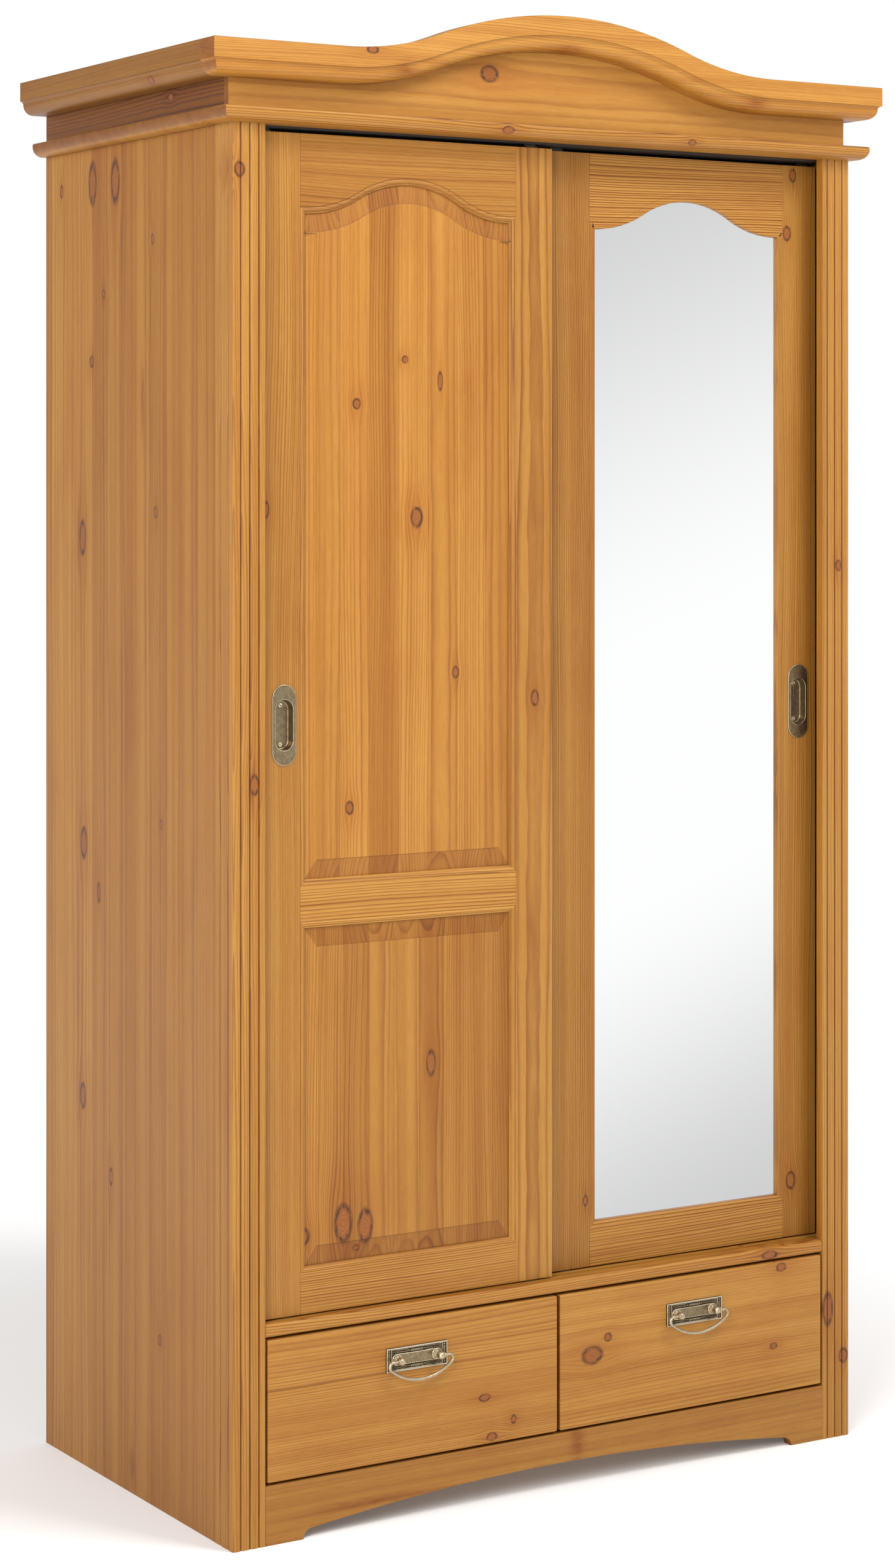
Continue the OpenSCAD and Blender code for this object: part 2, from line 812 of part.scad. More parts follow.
// Bolts of a pull: a round head bored from outside for the bail, a rosette on
// the plate, a shank through the drawer front and a nut inside
module pull_posts(s) {
    at_side(s) color(old_brass) for (p = [-1, 1])
        translate([drawer_mid + p * pull_centres / 2, 0, pull_z]) {
            difference() {
                union() {
                    translate([0, pull_y + post_head_l / 2, 0]) rotate([90, 0, 0])
                        cylinder(r = post_head_r, h = post_head_l);
                    translate([0, -plate_t, 0]) rotate([90, 0, 0])
                        cylinder(r = 4, h = -pull_y - plate_t);
                    translate([0, -plate_t, 0]) rotate([90, 0, 0]) cylinder(r = 8, h = 1.8);
                    translate([0, drawer_front_t + 5, 0]) rotate([90, 0, 0])
                        cylinder(r = 2.5, h = drawer_front_t + 5 + plate_t + 1);
                    translate([0, drawer_front_t + 4, 0]) rotate([90, 0, 0])
                        cylinder(r = 5, h = 4);
                }
                translate([-p * 2, pull_y, 0]) rotate([0, 90 * p, 0])
                    cylinder(r = bail_r + pin_clear, h = 20);
            }
        }
}

// Bail: a rod that leaves each post along x, turns down in a tight bend and hangs
// in one wide bow. Each station gives the rod's middle and the angle of its ring.
module drawer_bail(s) {
    sides = 16;
    bend_r = 6;
    bend_x = bail_half - bend_r;
    lean = 90 - 2 * atan((bail_drop - 2 * bend_r) / bend_x);
    bow_r = bend_x / cos(lean) + bend_r;
    bow_z = bow_r - bail_drop;
    right = concat([[pull_centres / 2 - 1.5, 0, 90]],
        [for (i = [0 : 10]) let (a = 90 - (90 + lean) * i / 10)
            [bend_x + bend_r * cos(a), -bend_r + bend_r * sin(a), a]],
        [for (i = [1 : 10]) let (a = -lean - (90 - lean) * i / 10)
            [bow_r * cos(a), bow_z + bow_r * sin(a), a]]);
    last = len(right) - 1;
    path = concat(right, [for (i = [last - 1 : -1 : 0])
        [-right[i][0], right[i][1], 180 - right[i][2]]]);
    rings = len(path);
    points = [for (p = path, j = [0 : sides - 1]) let (t = 360 * j / sides)
        [p[0] + bail_r * cos(t) * cos(p[2]), bail_r * sin(t),
            p[1] + bail_r * cos(t) * sin(p[2])]];
    faces = concat([[for (j = [sides - 1 : -1 : 0]) j]],
        [for (i = [0 : rings - 2], j = [0 : sides - 1], half = [0, 1])
            let (k = (j + 1) % sides, a = i * sides, b = a + sides)
            half == 0 ? [a + j, a + k, b + k] : [a + j, b + k, b + j]],
        [[for (j = [0 : sides - 1]) (rings - 1) * sides + j]]);
    at_side(s) color(old_brass) translate([drawer_mid, pull_y, pull_z])
        polyhedron(points, faces);
}

module left_drawer_front() { drawer_front(-1); }
module left_drawer_sides() { drawer_sides(-1); }
module left_drawer_back() { drawer_back(-1); }
module left_drawer_bottom() { drawer_bottom(-1); }
module left_drawer_pull_plate() { pull_plate(-1); }
module left_drawer_pull_posts() { pull_posts(-1); }
module left_drawer_bail() { drawer_bail(-1); }
module right_drawer_front() { drawer_front(1); }
module right_drawer_sides() { drawer_sides(1); }
module right_drawer_back() { drawer_back(1); }
module right_drawer_bottom() { drawer_bottom(1); }
module right_drawer_pull_plate() { pull_plate(1); }
module right_drawer_pull_posts() { pull_posts(1); }
module right_drawer_bail() { drawer_bail(1); }

post_left();
post_right();
side_panel_left();
side_panel_right();
plinth_board();
rear_plinth();
bottom_board();
drawer_divider();
floor_board();
top_board();
back_boards();
door_top_track();
hat_shelf();
shelf_battens();
hanging_rail();
rail_sockets();
drawer_guides();
frieze_front();
frieze_left();
frieze_right();
cornice_front();
cornice_left();
cornice_right();
crown_blocks();
left_door_outer_stile();
left_door_inner_stile();
left_door_top_rail();
left_door_middle_rail();
left_door_bottom_rail();
left_door_upper_panel();
left_door_lower_panel();
left_door_flush_pull();
left_door_pull_screws();
left_door_top_guides();
left_door_glides();
right_door_inner_stile();
right_door_outer_stile();
right_door_top_rail();
right_door_bottom_rail();
mirror_glass();
mirror_backing();
right_door_flush_pull();
right_door_pull_screws();
right_door_top_guides();
right_door_glides();
left_drawer_front();
left_drawer_sides();
left_drawer_back();
left_drawer_bottom();
left_drawer_pull_plate();
left_drawer_pull_posts();
left_drawer_bail();
right_drawer_front();
right_drawer_sides();
right_drawer_back();
right_drawer_bottom();
right_drawer_pull_plate();
right_drawer_pull_posts();
right_drawer_bail();
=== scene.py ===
"""Pine wardrobe with a panelled and a mirrored sliding door: timber, mouldings and fittings."""
import json
import math

import bmesh
import bpy
import numpy as np
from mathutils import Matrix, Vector

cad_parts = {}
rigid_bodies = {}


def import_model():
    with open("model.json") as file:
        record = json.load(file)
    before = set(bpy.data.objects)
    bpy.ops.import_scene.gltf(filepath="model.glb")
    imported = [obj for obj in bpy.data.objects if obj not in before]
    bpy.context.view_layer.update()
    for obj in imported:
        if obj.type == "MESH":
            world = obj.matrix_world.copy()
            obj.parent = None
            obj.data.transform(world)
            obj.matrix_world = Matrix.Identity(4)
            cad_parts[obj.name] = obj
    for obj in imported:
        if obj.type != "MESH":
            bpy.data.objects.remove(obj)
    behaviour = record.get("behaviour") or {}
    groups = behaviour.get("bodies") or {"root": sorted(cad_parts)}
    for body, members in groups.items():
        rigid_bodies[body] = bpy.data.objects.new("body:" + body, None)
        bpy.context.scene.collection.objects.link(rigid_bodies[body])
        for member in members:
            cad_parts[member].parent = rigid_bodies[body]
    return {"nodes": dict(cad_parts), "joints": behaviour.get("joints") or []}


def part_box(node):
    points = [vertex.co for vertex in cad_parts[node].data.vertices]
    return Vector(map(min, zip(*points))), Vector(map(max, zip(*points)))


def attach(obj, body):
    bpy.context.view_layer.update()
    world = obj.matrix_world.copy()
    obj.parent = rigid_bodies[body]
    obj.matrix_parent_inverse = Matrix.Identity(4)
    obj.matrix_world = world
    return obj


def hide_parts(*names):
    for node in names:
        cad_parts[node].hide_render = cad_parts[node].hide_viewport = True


bl_info = {
    "name": "Pine Sliding-Door Wardrobe",
    "version": (1, 0, 0),
    "blender": (4, 5, 0),
    "location": "3D View > Sidebar > Wardrobe",
    "description": "Boards, mouldings, raised panels, mirror and metal fittings of a pine wardrobe",
    "category": "Add Mesh",
}

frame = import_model()
MM = 0.001


def box(node):
    """Lowest and highest corner of a node of the frame, as arrays in metres."""
    low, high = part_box(node)
    return np.array(low), np.array(high)


FRONT = box("post_left")[0][1]          # plane of the post fronts
HALF = box("post_right")[1][0]          # outer face of the side panels
BACK = box("side_panel_right")[1][1]    # rear edges of the side panels


# ---- sizes and finishes that a user would change ----

class WardrobeTimber(bpy.types.PropertyGroup):
    early_wood: bpy.props.FloatVectorProperty(
        name="Early wood", description="Colour of the soft pale part of each growth ring",
        subtype="COLOR", size=3, min=0, max=1, default=(0.420, 0.202, 0.036))
    late_wood: bpy.props.FloatVectorProperty(
        name="Late wood", description="Colour of the hard dark line that ends each ring",
        subtype="COLOR", size=3, min=0, max=1, default=(0.200, 0.064, 0.007))
    knot_wood: bpy.props.FloatVectorProperty(
        name="Knots", description="Colour of the middle of a sound knot",
        subtype="COLOR", size=3, min=0, max=1, default=(0.270, 0.088, 0.016))
    inner_wood: bpy.props.FloatVectorProperty(
        name="Unoiled pine", description="Colour of the bare boards inside",
        subtype="COLOR", size=3, min=0, max=1, default=(0.60, 0.40, 0.20))
    ring_width: bpy.props.FloatProperty(
        name="Ring width", description="Distance between growth rings",
        unit="LENGTH", min=0.001, max=0.01, default=0.0034)
    sheen: bpy.props.FloatProperty(
        name="Roughness", description="Roughness of the oiled surface",
        subtype="FACTOR", min=0, max=1, default=0.46)
    arris: bpy.props.FloatProperty(
        name="Arris", description="Radius to which sawn edges are eased",
        unit="LENGTH", min=0.0002, max=0.003, default=0.0007)


class WardrobeJoinery(bpy.types.PropertyGroup):
    lip: bpy.props.FloatProperty(
        name="Moulding width", description="Width of the moulding round each door opening",
        unit="LENGTH", min=0.006, max=0.014, default=0.0095)
    rail_rise: bpy.props.FloatProperty(
        name="Rail arch", description="Rise of the arch in the top rails of the doors",
        unit="LENGTH", min=0.0, max=0.06, default=0.0455)
    crown_rise: bpy.props.FloatProperty(
        name="Crown arch", description="Rise of the crown at its middle",
        unit="LENGTH", min=0.0, max=0.08, default=0.066)
    crown_span: bpy.props.FloatProperty(
        name="Crown half span", description="Distance from the middle to where the crown is level",
        unit="LENGTH", min=0.3, max=0.4, default=0.360)
    crown_knee: bpy.props.FloatProperty(
        name="Crown knee", description="Where the crown's curve changes direction",
        unit="LENGTH", min=0.15, max=0.3, default=0.205)
    reed_depth: bpy.props.FloatProperty(
        name="Reeding depth", description="Depth of the grooves in the corner posts",
        unit="LENGTH", min=0.0005, max=0.003, default=0.0024)
    bevel_side: bpy.props.FloatProperty(
        name="Bevel at the sides", description="From the frame's edge to the panel's field",
        unit="LENGTH", min=0.015, max=0.04, default=0.027)
    bevel_end: bpy.props.FloatProperty(
        name="Bevel at the ends", description="From a rail's edge to the panel's field",
        unit="LENGTH", min=0.015, max=0.05, default=0.035)
    plinth_rise: bpy.props.FloatProperty(
        name="Plinth arch", description="Rise of the shallow arch above the plinth's coves",
        unit="LENGTH", min=0.0, max=0.03, default=0.0245)
    plinth_cove: bpy.props.FloatProperty(
        name="Plinth cove", description="Radius of the cove at each foot of the plinth",
        unit="LENGTH", min=0.005, max=0.02, default=0.0135)


class WardrobeFittings(bpy.types.PropertyGroup):
    bright_brass: bpy.props.FloatVectorProperty(
        name="Rubbed brass", description="Colour where the antique finish is rubbed bright",
        subtype="COLOR", size=3, min=0, max=1, default=(0.60, 0.53, 0.40))
    dark_brass: bpy.props.FloatVectorProperty(
        name="Dark brass", description="Colour left in the hollows of the antique finish",
        subtype="COLOR", size=3, min=0, max=1, default=(0.030, 0.022, 0.014))
    middle_brass: bpy.props.FloatVectorProperty(
        name="Field of the brass", description="Mottled colour of the flat parts",
        subtype="COLOR", size=3, min=0, max=1, default=(0.200, 0.155, 0.092))
    bail_radius: bpy.props.FloatProperty(
        name="Bail radius", description="Radius of the bail's rod at its ends",
        unit="LENGTH", min=0.0015, max=0.003, default=0.0023)
    silver: bpy.props.FloatVectorProperty(
        name="Mirror", description="Colour of the silvering through the glass",
        subtype="COLOR", size=3, min=0, max=1, default=(0.93, 0.94, 0.935))


class WardrobeStage(bpy.types.PropertyGroup):
    key_power: bpy.props.FloatProperty(
        name="Key light", description="Power of the soft light high at the front right",
        unit="POWER", min=0, max=2000, default=118)
    fill_power: bpy.props.FloatProperty(
        name="Fill light", description="Power of the soft light at the front left",
        unit="POWER", min=0, max=2000, default=135)
    ambient: bpy.props.FloatProperty(
        name="Surroundings", description="Strength of the white surroundings as a light",
        min=0, max=3, default=0.62)
    lens: bpy.props.FloatProperty(
        name="Focal length", description="Focal length of the camera in millimetres",
        min=20, max=200, default=75.7)


SETTINGS = {"wardrobe_timber": WardrobeTimber, "wardrobe_joinery": WardrobeJoinery,
            "wardrobe_fittings": WardrobeFittings, "wardrobe_stage": WardrobeStage}


# ---- shapes ----

def ogee(x, span, knee, rise):
    """Height of an arch: a circle over the middle and a reversed circle on each side,
    meeting on a common tangent at the knee, and level beyond the span."""
    turn = 2 * math.atan(rise / span)
    middle, end = knee / math.sin(turn), (span - knee) / math.sin(turn)
    a = np.abs(x)
    inner = rise - middle + np.sqrt(np.maximum(middle ** 2 - np.minimum(a, knee) ** 2, 0))
    rest = np.clip(span - a, 0, span - knee)
    return np.where(a <= knee, inner, end - np.sqrt(end ** 2 - rest ** 2))


def arc(centre, radius, start, stop, steps):
    """Points along a circle from one angle to another, in degrees."""
    t = np.radians(np.linspace(start, stop, steps + 1))
    return np.array(centre) + radius * np.stack([np.cos(t), np.sin(t)], 1)


def inset(outline, across, along=None):
    """An outline drawn inwards: each corner moves along its mitre, by `across` over the
    first axis and `along` over the second. The outline runs anticlockwise."""
    along = across if along is None else along
    edge = np.roll(outline, -1, 0) - outline
    normal = np.stack([-edge[:, 1], edge[:, 0]], 1)
    normal /= np.linalg.norm(normal, axis=1, keepdims=True)
    before = np.roll(normal, 1, 0)
    mitre = (normal + before) / (1 + (normal * before).sum(1, keepdims=True))
    return outline + mitre * np.array([across, along])


def strip(rings, closed=True):
    """Quads between neighbouring rings of one shape of grid: rings x points x 3."""
    n, m = rings.shape[:2]
    i = np.arange(n - 1)[:, None] * m
    j = np.arange(m if closed else m - 1)[None, :]
    k = (j + 1) % m
    quads = np.stack([i + j, i + k, i + m + k, i + m + j], -1).reshape(-1, 4)
    return rings.reshape(-1, 3), [tuple(q) for q in quads]


def shell(rings, start=True, end=True):
    """A closed skin over a stack of rings, with a flat cap on each end that is asked for."""
    points, faces = strip(rings)
    n, m = rings.shape[:2]
    if start:
        faces.append(tuple(range(m - 1, -1, -1)))
    if end:
        faces.append(tuple(range((n - 1) * m, n * m)))
    return outward(points, faces)


def outward(points, faces):
    """The same closed skin with its faces turned outwards: its signed volume, summed over
    the fan of triangles of each face, comes out above nought."""
    volume = 0.0
    for size in sorted({len(f) for f in faces}):
        f = np.array([g for g in faces if len(g) == size])
        a = points[f[:, 0]]
        for i in range(1, size - 1):
            volume += (a * np.cross(points[f[:, i]], points[f[:, i + 1]])).sum()
    return points, (faces if volume >= 0 else [tuple(reversed(f)) for f in faces])


def placed(flat, depth, axes):
    """Plane points and a depth put on the axes named, such as 'xzy': the first two letters
    take the plane's axes and the last takes the depth."""
    out = np.empty((len(flat), 3))
    order = ["xyz".index(a) for a in axes]
    out[:, order[0]], out[:, order[1]], out[:, order[2]] = flat[:, 0], flat[:, 1], depth
    return out


def slab(outline, near, far, arris, axes="xzy", steps=3, hole=None, hole_depth=None):
    """A board cut to an outline, with both arrises rounded: the outline is drawn inwards by
    r(1 - sin t) at a depth of r(1 - cos t). A hole sunk in the near face joins the face's
    rim by a seam of no width."""
    way = 1.0 if far > near else -1.0
    t = np.linspace(0, math.pi / 2, steps + 1)
    inward = arris * (1 - np.sin(t))
    depth = arris * (1 - np.cos(t))
    rings = [placed(inset(outline, w), near + way * d, axes) for w, d in zip(inward, depth)]
    rings += [placed(inset(outline, w), far - way * d, axes)
              for w, d in zip(inward[::-1], depth[::-1])]
    rings = np.array(rings)
    if hole is None:
        return shell(rings)
    points, faces = strip(rings)
    m, n, h = len(outline), len(points), len(hole)
    wall_points, wall_faces = strip(np.array([placed(hole, near, axes),
                                              placed(hole, near + way * hole_depth, axes)]))
    faces += ring_face(rings[0], wall_points[:h], n)
    faces.append(tuple(range((len(rings) - 1) * m, len(rings) * m)))
    faces += [tuple(n + i for i in reversed(f)) for f in wall_faces]
    faces.append(tuple(n + h + i for i in range(h)))
    return outward(np.concatenate([points, wall_points]), faces)


def ring_face(rim, mouth, base):
    """The face between an outer rim, points 0 on, and the mouth of a hole, points base on,
    as two polygons that meet along a line on each side of the hole."""
    m, h = len(rim), len(mouth)
    near = [int(np.argmin(((rim - mouth[k]) ** 2).sum(1))) for k in (0, h // 2)]
    faces = []
    for (a, b), (p, q) in (((near[0], near[1]), (0, h // 2)), ((near[1], near[0]), (h // 2, h))):
        outer = [(a + i) % m for i in range((b - a) % m + 1)]
        inner = [base + i % h for i in range(p, q + 1)]
        faces.append(tuple(reversed(outer)) + tuple(inner))
    return faces


def rectangle(low, high, radius=0.0, steps=3):
    """An anticlockwise rectangle, with its corners rounded if a radius is given."""
    (a, b), (c, d) = low, high
    if not radius:
        return np.array([[a, b], [c, b], [c, d], [a, d]], float)
    r = radius
    return np.concatenate([
        arc((a + r, b + r), r, 180, 270, steps), arc((c - r, b + r), r, 270, 360, steps),
        arc((c - r, d - r), r, 0, 90, steps), arc((a + r, d - r), r, 90, 180, steps)])


def board(low, high, arris, face="xzy"):
    """A square-edged board between two corners, all its arrises eased."""
    order = ["xyz".index(a) for a in face]
    flat = rectangle([low[order[0]], low[order[1]]], [high[order[0]], high[order[1]]], 1.3 * arris, 2)
    return slab(flat, low[order[2]], high[order[2]], arris, face, 2)


def sweep(profile, stations, outs, up=(0, 0, 1), caps=True):
    """A closed profile carried along a path: each profile point [out, rise] lands at
    station + out * sideways vector + rise * up. The sideways vectors hold the mitres."""
    rings = (np.array(stations)[:, None, :]
             + np.array(profile)[None, :, :1] * np.array(outs)[:, None, :]
             + np.array(profile)[None, :, 1:] * np.array(up)[None, None, :])
    return shell(rings, caps, caps)


def lathe(profile, centre, axis, steps=32):
    """A turned piece: each profile point [radius, along] goes round the axis through the
    centre. Profiles start and end on the axis."""
    t = np.linspace(0, 2 * math.pi, steps, endpoint=False)
    line = {"x": 0, "y": 1, "z": 2}[axis]
    first, second = [(1, 2), (2, 0), (0, 1)][line]
    profile = np.array(profile, float)
    ring = np.zeros((len(profile), steps, 3))
    ring[..., line] = profile[:, 1][:, None]
    ring[..., first] = profile[:, :1] * np.cos(t)
    ring[..., second] = profile[:, :1] * np.sin(t)
    body, tips = ring[1:-1], (ring[0, 0], ring[-1, 0])
    points, faces = strip(body)
    n = len(points)
    last = (len(body) - 1) * steps
    faces += [((i + 1) % steps, i, n) for i in range(steps)]
    faces += [(last + i, last + (i + 1) % steps, n + 1) for i in range(steps)]
    points = np.concatenate([points, np.array(tips)]) + np.array(centre)
    return outward(points, faces)


def rod(path, radii, sides=20):
    """A round rod along a path in an upright plane: circles across the path's direction."""
    path = np.array(path, float)
    ahead = np.gradient(path, axis=0)
    ahead /= np.linalg.norm(ahead, axis=1, keepdims=True)
    flat = np.array([0.0, 1.0, 0.0])
    side = np.cross(ahead, flat)
    t = np.linspace(0, 2 * math.pi, sides, endpoint=False)[None, :, None]
    radii = np.array(radii)[:, None, None]
    rings = path[:, None, :] + radii * (np.cos(t) * side[:, None, :] + np.sin(t) * flat)
    return shell(rings)


def mirrored(part, sign):
    """A part reflected across the middle plane where the sign is below nought."""
    if sign > 0:
        return part
    return part[0] * np.array([-1.0, 1.0, 1.0]), [tuple(reversed(f)) for f in part[1]]


def piece(name, parts, body, material, replaces=(), relief=None, weld=False, crisp=50):
    """Makes one object of the parts given, smooth up to an angle with area-weighted
    normals, rides it on its body and lets it stand for its nodes."""
    points, faces, base = [], [], 0
    for p, f in parts:
        points.append(p)
        faces += [tuple(base + i for i in g) for g in f]
        base += len(p)
    points = np.concatenate(points)
    mesh = bpy.data.meshes.new(name)
    mesh.from_pydata(points.tolist(), [], faces)
    if relief is not None:
        mesh.attributes.new("relief", "FLOAT", "POINT").data.foreach_set(
            "value", np.asarray(relief, np.float32))
    if weld:
        weld_doubles(mesh)
    mesh.update()
    mesh.shade_smooth()
    mesh.set_sharp_from_angle(angle=math.radians(crisp))
    thing = bpy.data.objects.new(name, mesh)
    bpy.context.scene.collection.objects.link(thing)
    even = thing.modifiers.new("Even normals", "WEIGHTED_NORMAL")
    even.keep_sharp = True
    mesh.materials.append(material)
    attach(thing, body)
    if replaces:
        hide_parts(*replaces)
    return thing


def weld_doubles(mesh):
    """Merges points that fall together, so that faces of no area vanish."""
    work = bmesh.new()
    work.from_mesh(mesh)
    bmesh.ops.remove_doubles(work, verts=work.verts, dist=1e-6)
    work.to_mesh(mesh)
    work.free()


# ---- finishes ----

class Field:
    """A varying number in a material, so that a finish is written as plain sums."""

    def __init__(self, tree, socket):
        self.tree, self.socket = tree, socket

    def do(self, operation, *others, clamp=False):
        node = self.tree.nodes.new("ShaderNodeMath")
        node.operation = operation
        node.use_clamp = clamp
        for place, value in zip(node.inputs, (self, *others)):
            feed(place, value)
        return Field(self.tree, node.outputs[0])

    def __add__(self, other):
        return self.do("ADD", other)

    def __sub__(self, other):
        return self.do("SUBTRACT", other)

    def __mul__(self, other):
        return self.do("MULTIPLY", other)

    def __rmul__(self, other):
        return self.do("MULTIPLY", other)

    def __radd__(self, other):
        return self.do("ADD", other)

    def __rsub__(self, other):
        return (self * -1.0) + other

    def __truediv__(self, other):
        return self.do("DIVIDE", other)

    def power(self, other):
        return self.do("POWER", other)

    def smooth(self, low, high):
        """0 below low, 1 above high, and a smooth step between."""
        node = self.tree.nodes.new("ShaderNodeMapRange")
        node.interpolation_type = "SMOOTHSTEP"
        feed(node.inputs[0], self)
        node.inputs[1].default_value, node.inputs[2].default_value = low, high
        return Field(self.tree, node.outputs[0])


def feed(place, value):
    """Joins a field to a socket, or sets the socket to a number or colour."""
    if isinstance(value, Field):
        value.tree.links.new(place, value.socket)
    else:
        place.default_value = value


def vector(tree, x, y, z):
    node = tree.nodes.new("ShaderNodeCombineXYZ")
    for place, value in zip(node.inputs, (x, y, z)):
        feed(place, value)
    return Field(tree, node.outputs[0])


def noise(where, stretch, seed, detail=2.0, rough=0.5):
    """Smooth noise from 0 to 1 of a vector field, squeezed by a factor on each axis."""
    tree = where.tree
    move = tree.nodes.new("ShaderNodeMapping")
    feed(move.inputs["Vector"], where)
    move.inputs["Scale"].default_value = stretch
    move.inputs["Location"].default_value = (seed * 1.7, seed * 2.3 + 5, seed * 0.9 - 3)
    node = tree.nodes.new("ShaderNodeTexNoise")
    tree.links.new(node.inputs["Vector"], move.outputs[0])
    node.inputs["Scale"].default_value = 1.0
    node.inputs["Detail"].default_value = detail
    node.inputs["Roughness"].default_value = rough
    return Field(tree, node.outputs["Fac"])


def blend(amount, first, second, mode="MIX"):
    """Two colours mixed by a field or a number."""
    tree = next(v.tree for v in (amount, first, second) if isinstance(v, Field))
    node = tree.nodes.new("ShaderNodeMix")
    node.data_type = "RGBA"
    node.blend_type = mode
    feed(node.inputs[0], amount)
    feed(node.inputs[6], first if isinstance(first, Field) else (*first, 1.0))
    feed(node.inputs[7], second if isinstance(second, Field) else (*second, 1.0))
    return Field(tree, node.outputs[2])


def new_material(name):
    material = bpy.data.materials.new(name)
    material.use_nodes = True
    tree = material.node_tree
    return material, tree, tree.nodes["Principled BSDF"]


def coordinates(tree):
    """The three object coordinates as fields."""
    where = tree.nodes.new("ShaderNodeTexCoord")
    split = tree.nodes.new("ShaderNodeSeparateXYZ")
    tree.links.new(split.inputs[0], where.outputs["Object"])
    return [Field(tree, s) for s in split.outputs]


def facing(tree, axis):
    """How squarely the surface faces along one axis, from 0 to 1."""
    about = tree.nodes.new("ShaderNodeNewGeometry")
    split = tree.nodes.new("ShaderNodeSeparateXYZ")
    tree.links.new(split.inputs[0], about.outputs["Normal"])
    return Field(tree, split.outputs[axis]).do("ABSOLUTE")


def bump(tree, height, strength, distance):
    node = tree.nodes.new("ShaderNodeBump")
    node.inputs["Strength"].default_value = strength
    node.inputs["Distance"].default_value = distance
    feed(node.inputs["Height"], height)
    return Field(tree, node.outputs[0])


